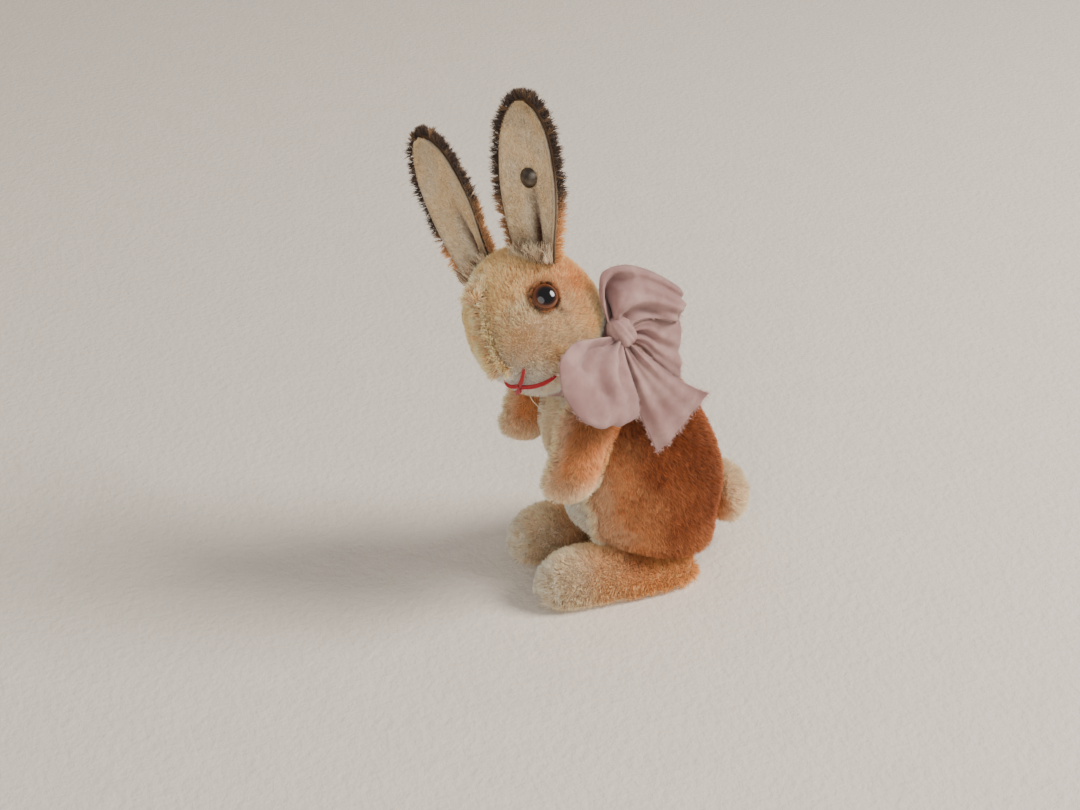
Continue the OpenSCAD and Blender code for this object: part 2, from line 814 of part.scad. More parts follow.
// The knot sits on the band, behind the head on the rabbit's left.
knot_angle = 52;
knot_r = neck_r + band_gap + ribbon_t + knot_size * 0.42;
knot = neck + [knot_r * cos(knot_angle), knot_r * sin(knot_angle) * cos(neck_lean),
    knot_r * sin(knot_angle) * sin(neck_lean)];
module ribbon_knot() {
    color(silk) centred() translate(knot) rotate([neck_lean, 0, 0]) rotate([0, 0, knot_angle])
        hull() for (y = [-1, 1], z = [-1, 1])
            translate([0, y * knot_size * 0.2, z * knot_size * 0.12])
                sphere(d = knot_size * 0.62, $fn = 16);
}

// Edges of each piece, from the knot outwards, measured from the knot's centre
function from_knot(rows) =
    [for (r = rows) [r[0] + knot.x, r[1] + knot.y, r[2] + knot.z,
        r[3] + knot.x, r[4] + knot.y, r[5] + knot.z]];
loop_upper = [
    [0.2, -2.4, 2.1, 1.2, 0.6, 1.1],
    [0.2, -4.9, 10.1, 2, 2.1, 2.4],
    [-0.8, -3.9, 15.6, 2.2, 5.1, 3.4],
    [-1.3, 2.1, 16.6, 1.9, 8.1, 3],
    [-1.5, 9.1, 13.6, 1.5, 11.5, 1.8],
    [-1.8, 15.1, 9.1, 0.2, 14.7, 0.3],
    [-4.3, 17.4, 6.1, -3.3, 16.3, -1.4],
    [-6.9, 15.1, 6.1, -6.7, 13.6, -1.2],
    [-7.1, 8.1, 7.6, -6.8, 7.6, -0.8],
    [-5.3, 2.1, 5.6, -4.3, 2.6, -0.8],
    [-1.8, 0.1, 2.2, -1.3, 1.1, -0.2]];
loop_lower = [
    [2.2, -2.9, -0.4, 2.7, 0.1, -1.9],
    [9, -13.2, 4.2, 5.2, 0.6, -5.4],
    [12.9, -19.2, 1.6, 8.4, 0.9, -9.4],
    [14.2, -19.4, -4.9, 11.2, 1.3, -12.9],
    [15.6, -16.4, -11.4, 13.2, 0.6, -15.9],
    [15.9, -13.6, -14.5, 13.5, -0.6, -17.3],
    [14.6, -12.1, -15.3, 12.1, -1.4, -17.5],
    [13.1, -11.5, -13.4, 10.5, -2, -15.6],
    [8.6, -11, -6.6, 6, -2.4, -8.4],
    [2.5, -5.2, -3.4, 2.1, -1.6, -4.3]];
tail_front = [
    [1.9, 0.3, -3.8, 2.1, 2.9, -3],
    [4.3, 0.5, -7.9, 3.9, 6.1, -5.7],
    [6.9, 2.1, -15.9, 5.2, 12.6, -11.9],
    [8.5, 4.6, -23.4, 6.4, 17.6, -15.4],
    [9.2, 7.6, -30.6, 6.9, 21.6, -17.6]];
tail_back = [
    [0.7, 0.6, -0.4, 0.5, 0.6, -2.4],
    [1.2, 6.6, 0.6, 0.9, 5.6, -4.9],
    [0.2, 11.1, -0.9, 1.3, 9.6, -9.9],
    [-0.6, 15.1, -2.4, 1.2, 13.1, -13.9],
    [-1.3, 17.6, -3.9, 0.9, 16.1, -16.9]];

module ribbon_loop_upper() {
    color(silk) centred() ribbon(from_knot(loop_upper), 4);
}

module ribbon_loop_lower() {
    color(silk) centred() ribbon(from_knot(loop_lower), 4);
}

module ribbon_tail_front() {
    color(silk) centred() ribbon(from_knot(tail_front), 4);
}

module ribbon_tail_back() {
    color(silk) centred() ribbon(from_knot(tail_back), 4);
}

body_side_left();
body_side_right();
belly_panel();
body_stuffing();
head_side_left();
head_side_right();
head_stuffing();
ear_back_left();
ear_back_right();
ear_lining_left();
ear_lining_right();
ear_stud();
ear_stud_washer();
eye_glass_left();
eye_glass_right();
eye_pupils();
eye_shanks();
nose_stitching();
mouth_stitching();
whisker_thread();
arm_outer_left();
arm_inner_left();
arm_stuffing_left();
arm_disc_left();
arm_outer_right();
arm_inner_right();
arm_stuffing_right();
arm_disc_right();
arm_wire();
arm_washers();
neck_disc_body();
neck_disc_head();
neck_pin();
neck_washers();
foot_upper_left();
foot_sole_left();
foot_insole_left();
foot_stuffing_left();
foot_upper_right();
foot_sole_right();
foot_insole_right();
foot_stuffing_right();
tail();
ribbon_band();
ribbon_knot();
ribbon_loop_upper();
ribbon_loop_lower();
ribbon_tail_front();
ribbon_tail_back();
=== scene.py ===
"""Looks of the stuffed bunny rabbit: mohair pile, velvet, glass eyes, stitching and a silk bow.

Forms and places are in millimetres from the middle of the body. They become metres from the
origin where a mesh is made from them.
"""
import json
import math

import bpy
import numpy as np
from mathutils import Matrix, Vector


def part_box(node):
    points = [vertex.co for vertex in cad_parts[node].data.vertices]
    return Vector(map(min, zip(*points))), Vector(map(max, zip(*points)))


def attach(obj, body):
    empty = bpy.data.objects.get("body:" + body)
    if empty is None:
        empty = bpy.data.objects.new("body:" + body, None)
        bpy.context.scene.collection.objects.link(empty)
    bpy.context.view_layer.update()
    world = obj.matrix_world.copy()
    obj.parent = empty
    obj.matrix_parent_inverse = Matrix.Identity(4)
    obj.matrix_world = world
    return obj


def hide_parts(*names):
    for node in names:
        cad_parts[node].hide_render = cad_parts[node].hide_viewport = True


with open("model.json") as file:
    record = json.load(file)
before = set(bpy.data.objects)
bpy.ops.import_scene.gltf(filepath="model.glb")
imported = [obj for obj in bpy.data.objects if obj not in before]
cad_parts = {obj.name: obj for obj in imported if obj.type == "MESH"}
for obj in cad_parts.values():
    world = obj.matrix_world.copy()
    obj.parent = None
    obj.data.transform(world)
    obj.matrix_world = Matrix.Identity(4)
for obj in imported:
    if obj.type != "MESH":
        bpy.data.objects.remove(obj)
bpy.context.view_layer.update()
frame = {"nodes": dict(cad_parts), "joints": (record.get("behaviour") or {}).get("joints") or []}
MM = 0.001
JOINTS = {j["name"]: j for j in frame["joints"]}
# The middle of the body from the origin, in millimetres. The part is moved by the same amount.
BODY_MIDDLE = np.array([6.26, 0.56, 0])
NECK = np.array(JOINTS["head_swivel"]["pos_m"]) / MM - BODY_MIDDLE
SHOULDER = np.array(JOINTS["arm_left_swing"]["pos_m"]) / MM - BODY_MIDDLE


# ---- Camera, lights and floor ----
CAMERA_TURN, CAMERA_RISE = 70, 30
CAMERA_AT = (0.36776, -0.14964, 0.2743)
SENSOR_WIDTH, LENS = 36, 59.87
FLOOR_REACH = 3.0


def camera():
    turn, rise = math.radians(CAMERA_TURN), math.radians(CAMERA_RISE)
    right = Vector((math.cos(turn), math.sin(turn), 0))
    back = Vector((math.sin(turn) * math.cos(rise), -math.cos(turn) * math.cos(rise), math.sin(rise)))
    up = back.cross(right)
    data = bpy.data.cameras.new("camera")
    data.sensor_width, data.lens = SENSOR_WIDTH, LENS
    data.clip_start, data.clip_end = 0.01, 20
    ob = bpy.data.objects.new("camera", data)
    bpy.context.scene.collection.objects.link(ob)
    ob.matrix_world = Matrix.Translation(CAMERA_AT) @ Matrix((right, up, back)).transposed().to_4x4()
    bpy.context.scene.camera = ob


def lamp(name, at, aim, size, power, colour):
    data = bpy.data.lights.new(name, "AREA")
    data.shape, data.size, data.energy, data.color = "DISK", size, power, colour
    ob = bpy.data.objects.new(name, data)
    bpy.context.scene.collection.objects.link(ob)
    ob.location = at
    ob.rotation_euler = (Vector(aim) - Vector(at)).to_track_quat("-Z", "Y").to_euler()


def srgb(r, g, b):
    c = np.array([r, g, b]) / 255
    return np.where(c <= 0.04045, c / 12.92, ((c + 0.055) / 1.055) ** 2.4)


def stage():
    lamp("window", (0.35, 0.75, 0.75), (0, 0, 0.05), 0.5, 18.5, (1, 0.95, 0.88))
    lamp("front_fill", (0.9, -0.5, 0.6), (0, 0, 0.06), 0.9, 5.5, (1, 0.98, 0.95))
    world = bpy.data.worlds.new("room")
    bpy.context.scene.world = world
    world.use_nodes = True
    world.node_tree.nodes["Background"].inputs["Color"].default_value = (0.88, 0.85, 0.81, 1)
    world.node_tree.nodes["Background"].inputs["Strength"].default_value = 0.52
    mesh = bpy.data.meshes.new("floor")
    r = FLOOR_REACH
    mesh.from_pydata([(-r, -r, 0), (r, -r, 0), (r, r, 0), (-r, r, 0)], [], [(0, 1, 2, 3)])
    floor = bpy.data.objects.new("floor", mesh)
    bpy.context.scene.collection.objects.link(floor)
    m = Nodes("floor_cloth")
    colour = m.mix(m.noise(90, 4), tuple(srgb(212, 202, 190)), tuple(srgb(224, 214, 202)))
    m.shader(colour, 0.95, bump=(m.noise(420, 4), 0.5, 0.0012))
    mesh.materials.append(m.material)


# ---- Ways to make materials ----
class Nodes:
    """A material and short ways to add nodes to it."""

    def __init__(self, name):
        self.material = bpy.data.materials.new(name)
        self.material.use_nodes = True
        self.tree = self.material.node_tree
        self.bsdf = self.tree.nodes["Principled BSDF"]
        self.out = self.tree.nodes["Material Output"]

    def new(self, kind, links=(), **values):
        n = self.tree.nodes.new(kind)
        for k, v in values.items():
            setattr(n, k, v)
        for socket, source in dict(links).items():
            self.put(n.inputs[socket], source)
        return n

    def put(self, socket, source):
        if isinstance(source, bpy.types.NodeSocket):
            self.tree.links.new(source, socket)
        elif isinstance(source, (tuple, list)):
            socket.default_value = (*source, 1) if len(source) == 3 and socket.type == "RGBA" else source
        else:
            socket.default_value = source

    def place(self, scale=(1, 1, 1), uv=None):
        if uv:
            source = self.new("ShaderNodeUVMap", uv_map=uv).outputs[0]
        else:
            source = self.new("ShaderNodeTexCoord").outputs["Object"]
        return self.new("ShaderNodeMapping", {"Vector": source, "Scale": scale}).outputs[0]

    def noise(self, scale, detail=3, stretch=(1, 1, 1), uv=None):
        return self.new("ShaderNodeTexNoise", {"Vector": self.place(stretch, uv), "Scale": scale,
                                               "Detail": detail, "Roughness": 0.6}).outputs["Fac"]

    def wave(self, scale, axis, uv, distortion=0.0):
        return self.new("ShaderNodeTexWave", {"Vector": self.place(uv=uv), "Scale": scale,
                                              "Distortion": distortion}, bands_direction=axis).outputs["Fac"]

    def curve(self, fac, low, high):
        n = self.new("ShaderNodeMapRange", {0: fac, 1: low, 2: high})
        n.interpolation_type = "SMOOTHSTEP"
        return n.outputs[0]

    def math(self, op, a, b=0.0):
        return self.new("ShaderNodeMath", {0: a, 1: b}, operation=op).outputs[0]

    def mix(self, fac, a, b, blend="MIX"):
        n = self.new("ShaderNodeMix", data_type="RGBA", blend_type=blend)
        for i, v in ((0, fac), (6, a), (7, b)):
            self.put(n.inputs[i], v)
        return n.outputs[2]

    def attribute(self, name):
        return self.new("ShaderNodeAttribute", attribute_name=name).outputs["Color"]

    def shader(self, colour, rough, metal=0.0, bump=None, sheen=0.0, coat=0.0, glow_through=0.0, specular=0.5,
               sheen_tint=None):
        b = self.bsdf.inputs
        self.put(b["Base Color"], colour)
        self.put(b["Roughness"], rough)
        b["Metallic"].default_value = metal
        b["Specular IOR Level"].default_value = specular
        b["Sheen Weight"].default_value = sheen
        b["Sheen Roughness"].default_value = 0.45
        if sheen_tint is not None:
            self.put(b["Sheen Tint"], sheen_tint)
        b["Coat Weight"].default_value = coat
        b["Coat Roughness"].default_value = 0.03
        if bump:
            height, strength, distance = bump
            n = self.new("ShaderNodeBump", {"Height": height, "Strength": strength, "Distance": distance})
            self.tree.links.new(n.outputs[0], b["Normal"])
        if glow_through:
            t = self.new("ShaderNodeBsdfTranslucent", {"Color": colour})
            mixed = self.new("ShaderNodeMixShader", {0: glow_through, 1: self.bsdf.outputs[0], 2: t.outputs[0]})
            self.tree.links.new(mixed.outputs[0], self.out.inputs["Surface"])
        return self.material


# ---- Forms, as the CAD part has them: rows of [y, z, tilt, half width, half depth, egg] ----
NECK_LEAN, HEAD_TURN, ARM_SWING = 45, 42, 9
NECK_R, SOFT_GAP, PIN_HOLE_R = 8.6, 0.45, 1.5
BODY_W, BODY_D, SEAT = 35, 41, np.array([17, 5.6])
HEAD_W, HEAD_L, HEAD_H = 30, 33, 31
ARM_L, ARM_W, ARM_D, ARM_UP = 26.5, 9, 12, 5.2
FOOT_L, FOOT_W, FOOT_H, FOOT_X, HEEL_BACK, FOOT_ROUND = 41, 13.5, 12.5, 11, 20, 0.62
TAIL_W, TAIL_H, TAIL_OUT, TAIL_ROW = 10, 15, 8, 2.9
EAR_L, EAR_W, EAR_T, EAR_CUP, EAR_SPLAY, EAR_FACE, EAR_DROP = 35, 15, 0.7, 2.2, 14, 6, 3
PAGE = {
    "body": [(0, 0, -16, .03, .03, 0), (.015, -.6, -15, .5, .4, 0), (.09, -4.4, -15, .92, .9, 0),
             (.21, -1.8, -7, 1, .95, .05), (.37, 2.2, 2, .99, 1, .06), (.57, 3.2, 13, .82, .95, .05),
             (.76, 1.9, 28, .63, .8, .02)],
    "head": [(.2, .3, .92, .89, .06), (.4, .2, 1, .97, .12), (.58, .3, .98, .98, .12), (.74, -.4, .86, .85, .08),
             (.88, -1.3, .62, .61, .04), (.97, -1.7, .33, .32, 0), (1, -1.8, .03, .03, 0)],
    "arm": [(0, 3.4, .05, .05), (.03, 3.4, .5, .52), (.14, 3.3, .92, .96), (.32, 2.5, .98, .98),
            (.55, 1.8, .96, .94), (.8, 1.4, 1, 1), (.93, 1.2, .84, .74), (.99, 1.2, .4, .34), (1, 1.2, .05, .05)],
    "foot": [(0, .14, .24), (.04, .6, .38), (.16, .9, .45), (.36, 1, .66), (.58, 1, .98), (.78, .98, 1.06),
             (.91, .86, .98), (.98, .52, .74), (1, .16, .5)],
    "tail": [(0, .06), (.06, .5), (.3, .9), (.55, 1), (.82, .74), (.96, .36), (1, .05)],
    "ear": [(.66, 1, 0), (.8, 1.2, .15), (.97, .9, .35), (1, .7, .55), (.86, .5, .78), (.52, .3, .93), (.12, .15, 1)],
}


def turned_x(p, degrees):
    c, s = math.cos(math.radians(degrees)), math.sin(math.radians(degrees))
    return np.stack([p[..., 0], p[..., 1] * c - p[..., 2] * s, p[..., 1] * s + p[..., 2] * c], -1)


def turned_y(p, degrees):
    c, s = math.cos(math.radians(degrees)), math.sin(math.radians(degrees))
    return np.stack([p[..., 0] * c + p[..., 2] * s, p[..., 1], -p[..., 0] * s + p[..., 2] * c], -1)


def turned_z(p, degrees):
    c, s = math.cos(math.radians(degrees)), math.sin(math.radians(degrees))
    return np.stack([p[..., 0] * c - p[..., 1] * s, p[..., 0] * s + p[..., 1] * c, p[..., 2]], -1)


def body_rows():
    neck, axis = NECK[1:], np.array([-math.sin(math.radians(NECK_LEAN)), math.cos(math.radians(NECK_LEAN))])
    rows = [(*(SEAT + (neck - SEAT) * share + (behind, 0)), tilt, wide * BODY_W / 2, deep * BODY_D / 2, egg)
            for share, behind, tilt, wide, deep, egg in PAGE["body"]]
    for below, r in ((5.5, NECK_R + 1.9), (1.6, NECK_R + .9), (SOFT_GAP / 2 + .1, NECK_R - .6),
                     (SOFT_GAP / 2, PIN_HOLE_R)):
        rows.append((*(neck - axis * below), NECK_LEAN, r, r, 0))
    return np.array(rows)


def head_rows():
    g = SOFT_GAP / 2
    rows = [(0, g, 0, PIN_HOLE_R, PIN_HOLE_R, 0), (0, g + .1, 0, NECK_R - .6, NECK_R - .6, 0),
            (0, 2, 0, NECK_R + 2, NECK_R + 2, .02)]
    rows += [(-ahead, up * HEAD_H, 0, wide * HEAD_W / 2, deep * HEAD_L / 2, egg)
             for up, ahead, wide, deep, egg in PAGE["head"]]
    return np.array(rows)


ROWS = {
    "body": body_rows(),
    "head": head_rows(),
    "arm": np.array([(-ahead, ARM_UP - ARM_L * (1 - share), 0, wide * ARM_W / 2, deep * ARM_D / 2, 0)
                     for share, ahead, wide, deep in PAGE["arm"]]),
    "foot": np.array([(HEEL_BACK - share * FOOT_L, top * FOOT_H * (1 - FOOT_ROUND), 90, wide * FOOT_W / 2,
                       top * FOOT_H * FOOT_ROUND, 0) for share, wide, top in PAGE["foot"]]),
    "tail": np.array([(0, out * TAIL_OUT, 0, wide * TAIL_H / 2, wide * TAIL_W / 2, 0) for out, wide in PAGE["tail"]]),
}


def spline(rows, s):
    """Smooth values a part of the way, s, along rows."""
    s, last = np.asarray(s, float), len(rows) - 1
    i = np.clip(np.floor(s).astype(int), 0, last - 1)
    t = (s - i)[..., None]
    b, c = rows[i], rows[i + 1]
    a = np.where((i > 0)[..., None], rows[np.maximum(i - 1, 0)], b)
    d = np.where((i + 2 <= last)[..., None], rows[np.minimum(i + 2, last)], c)
    return 0.5 * (2 * b + (c - a) * t + (2 * a - 5 * b + 4 * c - d) * t ** 2 + (3 * b - a - 3 * c + d) * t ** 3)


def form_point(kind, s, a):
    r, turn = spline(ROWS[kind], s), np.radians(a)
    ahead, tilt = -r[..., 4] * np.cos(turn), np.radians(r[..., 2])
    p = np.stack([r[..., 3] * np.sin(turn) * (1 - r[..., 5] * np.cos(turn)),
                  r[..., 0] + ahead * np.cos(tilt), r[..., 1] + ahead * np.sin(tilt)], -1)
    if kind == "foot":
        p[..., 2] = np.maximum(p[..., 2], 0.1)
    return p


def unit(v):
    return v / np.maximum(np.linalg.norm(v, axis=-1, keepdims=True), 1e-9)


def form_normal(kind, s, a):
    last, e = len(ROWS[kind]) - 1, 0.04
    along = form_point(kind, np.minimum(s + e, last), a) - form_point(kind, np.maximum(s - e, 0), a)
    return unit(np.cross(form_point(kind, s, a + 2) - form_point(kind, s, a - 2), along))


def in_head(p):
    return turned_x(turned_z(p, HEAD_TURN), NECK_LEAN) + NECK


def mirrored(p, side):
    return p * np.array([side, 1, 1])


def at_arm(p, side):
    return mirrored(turned_x(p, -ARM_SWING) + SHOULDER, side)


def at_foot(p, side):
    return mirrored(p + np.array([FOOT_X, 0, 0]), side)


EAR_ROW, EAR_ANGLE, EAR_STAND = np.array(6.55), 132, 1.6
EAR_ROOT = form_point("head", EAR_ROW, EAR_ANGLE) + EAR_STAND * form_normal("head", EAR_ROW, EAR_ANGLE)


def at_ear(p, side):
    local = turned_x(turned_y(turned_z(p, EAR_FACE), EAR_SPLAY), -45) + EAR_ROOT
    return in_head(mirrored(local, side))


tail_root = form_point("body", np.array(TAIL_ROW), 180) + 0.5 * form_normal("body", np.array(TAIL_ROW), 180)
tail_way = unit(form_normal("body", np.array(TAIL_ROW), 180) + np.array([0, 0, 0.25]))


def at_tail(p):
    lean = math.degrees(math.acos(tail_way[2]))
    return turned_z(turned_y(p, lean), math.degrees(math.atan2(tail_way[1], tail_way[0]))) + tail_root


# ---- Colours ----
LATTICE_SIZE = 24
LATTICE = np.random.default_rng(7).random((LATTICE_SIZE,) * 3)


def cloud(p, size, shift=0.0):
    """Smooth noise from 0 to 1 that varies over about size millimetres."""
    q = p / size + shift
    i = np.floor(q).astype(int)
    f = q - i
    f = f * f * (3 - 2 * f)
    out = 0
    for dx in (0, 1):
        for dy in (0, 1):
            for dz in (0, 1):
                w = (f[..., 0] if dx else 1 - f[..., 0]) * (f[..., 1] if dy else 1 - f[..., 1]) * (
                    f[..., 2] if dz else 1 - f[..., 2])
                at = (i + np.array([dx, dy, dz])) % LATTICE_SIZE
                out = out + w * LATTICE[at[..., 0], at[..., 1], at[..., 2]]
    return out


def step(x, low, high):
    t = np.clip((x - low) / (high - low), 0, 1)
    return t * t * (3 - 2 * t)


def blend(a, b, t):
    return a + (b - a) * t[..., None]


def from_front(a):
    """Angle from the middle of the front, the same to either side."""
    return np.abs((np.asarray(a) + 180) % 360 - 180)


def folded(p):
    """Both halves of the head laid on the left one."""
    return np.concatenate([np.abs(p[..., :1]), p[..., 1:]], -1)


RUST, DEEP, PEACH = srgb(180, 104, 60), srgb(138, 74, 44), srgb(242, 180, 122)
GOLD, CREAM, WHITE = srgb(250, 206, 156), srgb(253, 228, 198), srgb(255, 249, 238)
TAN, BROWN, DARK = srgb(212, 166, 116), srgb(110, 76, 52), srgb(80, 64, 56)
# VELVET_SHADE is painted shade for the ear lining's crease, root and edges.
VELVET, VELVET_SHADE = srgb(232, 209, 172), srgb(96, 64, 46)
PINK, PINK_DARK = srgb(220, 180, 172), srgb(192, 146, 142)


def body_colour(p, s, a):
    a = from_front(a)
    patch = cloud(p, 9, 3.1)
    c = blend(CREAM, PEACH, step(a + 30 * (patch - 0.5), 34, 66))
    c = blend(c, RUST, step(a + 26 * (patch - 0.5), 62, 96) * (0.75 + 0.25 * cloud(p, 6, 9)))
    c = blend(c, DEEP, step(a, 96, 130) * step(cloud(p, 12, 5), 0.35, 0.8) * 0.6)
    haunch = step(p[..., 2], 22, 8) * step(np.abs(p[..., 0]), 6, 13)
    c = blend(c, PEACH, haunch * (0.15 + 0.4 * cloud(p, 7, 4)))
    flank = np.exp(-(np.linalg.norm((np.abs(p) - np.array([14, 11, 24])) / np.array([7, 7, 9]), axis=-1)) ** 2)
    c = blend(c, PEACH, np.where(p[..., 1] < 0, flank, 0))
    c = blend(c, WHITE, step(a, 40, 22) * step(p[..., 2], 44, 30) * (0.4 + 0.5 * cloud(p, 1.6, 2)))
    return blend(c, GOLD, step(p[..., 2], 56, 66) * 0.55)


EYE_S, EYE_A = 5.95, 82.5
EYE_AT = form_point("head", np.array(EYE_S), EYE_A)
NOSE_AT = form_point("head", np.array(4.1), 0)


def head_colour(p, s, a):
    """p is in the head's own frame, before it is turned."""
    a = from_front(a)
    q = folded(p)
    c = blend(GOLD, CREAM, step(cloud(p, 6, 2), 0.3, 0.8) * 0.6)
    cheek = np.exp(-(np.linalg.norm((q - EYE_AT - np.array([0.5, 9.5, -6.5])) / np.array([9, 6.5, 7.5]), axis=-1)) ** 2)
    c = blend(c, PEACH, np.clip(cheek * 1.15, 0, 1))
    c = blend(c, PEACH, step(a, 128, 165) * 0.3)
    muzzle = np.exp(-(np.linalg.norm((q - NOSE_AT) / np.array([8, 7, 8.5]), axis=-1)) ** 2)
    c = blend(c, WHITE, muzzle)
    ring = np.linalg.norm((q - EYE_AT) / 4.4, axis=-1)
    c = blend(c, BROWN, np.exp(-((ring - 0.8) / 0.13) ** 2) * 0.7)
    # Painted shade of a hair parting below the eye.
    below = np.linalg.norm((q - EYE_AT - np.array([1.2, -0.6, -4.4])) / np.array([3.0, 1.2, 2.6]), axis=-1)
    c = blend(c, BROWN, np.exp(-below ** 2) * 0.8 * step(cloud(p, 0.9, 4), 0.35, 0.6))
    chin = step(q[..., 2], 7, 2)
    return blend(c, WHITE, chin * 0.7)


def arm_colour(p, s, a):
    c = blend(PEACH, TAN, step(cloud(p, 5, 1), 0.3, 0.7) * 0.6)
    c = blend(c, RUST, step(p[..., 2], -9, 0) * (0.35 + 0.4 * cloud(p, 4, 6)))
    c = blend(c, CREAM, step(p[..., 2], -11, -19) * 0.8)
    return blend(c, CREAM, step(from_front(a), 50, 14) * 0.65)


def foot_colour(p, s, a):
    c = blend(GOLD, srgb(240, 178, 104), step(p[..., 1], -6, 8) * (0.6 + 0.4 * cloud(p, 5, 7)))
    c = blend(c, CREAM, step(p[..., 1], -6, -15))
    return blend(c, RUST, step(p[..., 1], -4, 6) * step(p[..., 2], 5, 10) * 0.75)


def tail_colour(p, s, a):
    return blend(PEACH, CREAM, step(p[..., 2], 0.5, 4) * (0.8 + 0.2 * cloud(p, 3)))


COLOUR = {"body": body_colour, "head": head_colour, "arm": arm_colour, "foot": foot_colour, "tail": tail_colour}


# ---- Meshes ----
def finish_mesh(name, me, material, colour):
    """An object from a mesh, smooth, with colours for its points."""
    me.polygons.foreach_set("use_smooth", np.full(len(me.polygons), True))
    layer = me.color_attributes.new(name="pile", type="FLOAT_COLOR", domain="POINT")
    rgba = np.ones((len(me.vertices), 4), np.float32)
    rgba[:, :3] = np.clip(np.asarray(colour).reshape(-1, 3), 0, 1)
    layer.data.foreach_set("color", rgba.ravel())
    me.materials.append(material)
    ob = bpy.data.objects.new(name, me)
    bpy.context.scene.collection.objects.link(ob)
    return ob


def mesh_object(name, verts, faces, material, colour, bake=None, flat=None):
    """An object from points in millimetres and four-cornered faces, with colours for its points."""
    verts = np.asarray(verts, float).reshape(-1, 3) + BODY_MIDDLE
    faces = np.asarray(faces, np.int32).reshape(-1, 4)
    me = bpy.data.meshes.new(name)
    me.vertices.add(len(verts))
    me.vertices.foreach_set("co", (verts * MM).astype(np.float32).ravel())
    me.loops.add(faces.size)
    me.loops.foreach_set("vertex_index", faces.ravel())
    me.polygons.add(len(faces))
    me.polygons.foreach_set("loop_start", np.arange(0, faces.size, 4, dtype=np.int32))
    me.update(calc_edges=True)
    for title, uv in (("Flat", flat), ("OFBake", bake)):
        if uv is not None:
            layer = me.uv_layers.new(name=title)
            layer.uv.foreach_set("vector", np.asarray(uv, np.float32).reshape(-1, 2)[faces.ravel()].ravel())
    return finish_mesh(name, me, material, colour)


def grid_faces(rows, columns, around=False):
    """Faces of a grid of points; around joins the last column to the first."""
    i, j = np.meshgrid(np.arange(rows - 1), np.arange(columns if around else columns - 1), indexing="ij")
    k = (j + 1) % columns
    f = np.stack([i * columns + j, (i + 1) * columns + j, (i + 1) * columns + k, i * columns + k], -1)
    return f.reshape(-1, 4)


def cover(name, kind, place, material, rows, columns, nodes, body, inset=0.25):
    """The backing of a stuffed form, closed all round, coloured like its pile's roots and darkened as painted shade
    under the pile.
    """
    last = len(ROWS[kind]) - 1
    s, a = np.meshgrid(np.linspace(0.02, last - 0.02, rows), np.arange(columns) * 360 / columns, indexing="ij")
    p = form_point(kind, s, a)
    # Darkened as painted shade under the pile.
    colour = COLOUR[kind](p, s, a) * 0.74
    p = p - inset * form_normal(kind, s, a)
    if kind == "foot":
        p[..., 2] = np.maximum(p[..., 2], 0.15)
    ends = [p[0].mean(0), p[-1].mean(0)]
    verts = place(np.concatenate([p.reshape(-1, 3), ends]))
    faces = grid_faces(rows, columns, around=True)
    me_colour = np.concatenate([colour.reshape(-1, 3), colour[:1, 0], colour[-1:, 0]])
    ob = closed_object(name, verts, faces, rows, columns, material, me_colour, place_flips(place))
    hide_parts(*nodes)
    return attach(ob, body)


def place_flips(place):
    """Whether a placing mirrors what it places."""
    o, x, y, z = (place(np.array([v], float))[0] for v in ((0, 0, 0), (1, 0, 0), (0, 1, 0), (0, 0, 1)))
    return np.dot(np.cross(x - o, y - o), z - o) < 0


def closed_object(name, verts, faces, rows, columns, material, colour, flipped):
    """A tube of points with a point at each end, closed by fans of triangles."""
    me = bpy.data.meshes.new(name)
    k, j = rows * columns, np.arange(columns)
    n = (j + 1) % columns
    tris = [(int(a), int(b), k) for a, b in zip(j, n)]
    tris += [(int(b) + k - columns, int(a) + k - columns, k + 1) for a, b in zip(j, n)]
    all_faces = [tuple(int(x) for x in f) for f in faces] + tris
    if flipped:
        all_faces = [f[::-1] for f in all_faces]
    me.from_pydata([tuple(v) for v in (verts + BODY_MIDDLE) * MM], [], all_faces)
    me.update()
    return finish_mesh(name, me, material, colour)


def pick(kind, count, s0, s1, a0, a1, seed, keep=None):
    """Places spread evenly over part of a form, as s and a."""
    r = np.random.default_rng(seed)
    cells = 60
    gs, ga = np.linspace(s0, s1, cells + 1), np.linspace(a0, a1, cells + 1)
    s, a = np.meshgrid(gs, ga, indexing="ij")
    p = form_point(kind, s, a)
    area = np.linalg.norm(np.cross(p[1:, :-1] - p[:-1, :-1], p[:-1, 1:] - p[:-1, :-1]), axis=-1)
    cell = r.choice(area.size, size=count, p=(area / area.sum()).ravel())
    i, j = cell // cells, cell % cells
    s = gs[i] + r.random(count) * (gs[1] - gs[0])
    a = ga[j] + r.random(count) * (ga[1] - ga[0])
    if keep is not None:
        chosen = r.random(count) < keep(form_point(kind, s, a), s, a)
        s, a = s[chosen], a[chosen]
    return s, a


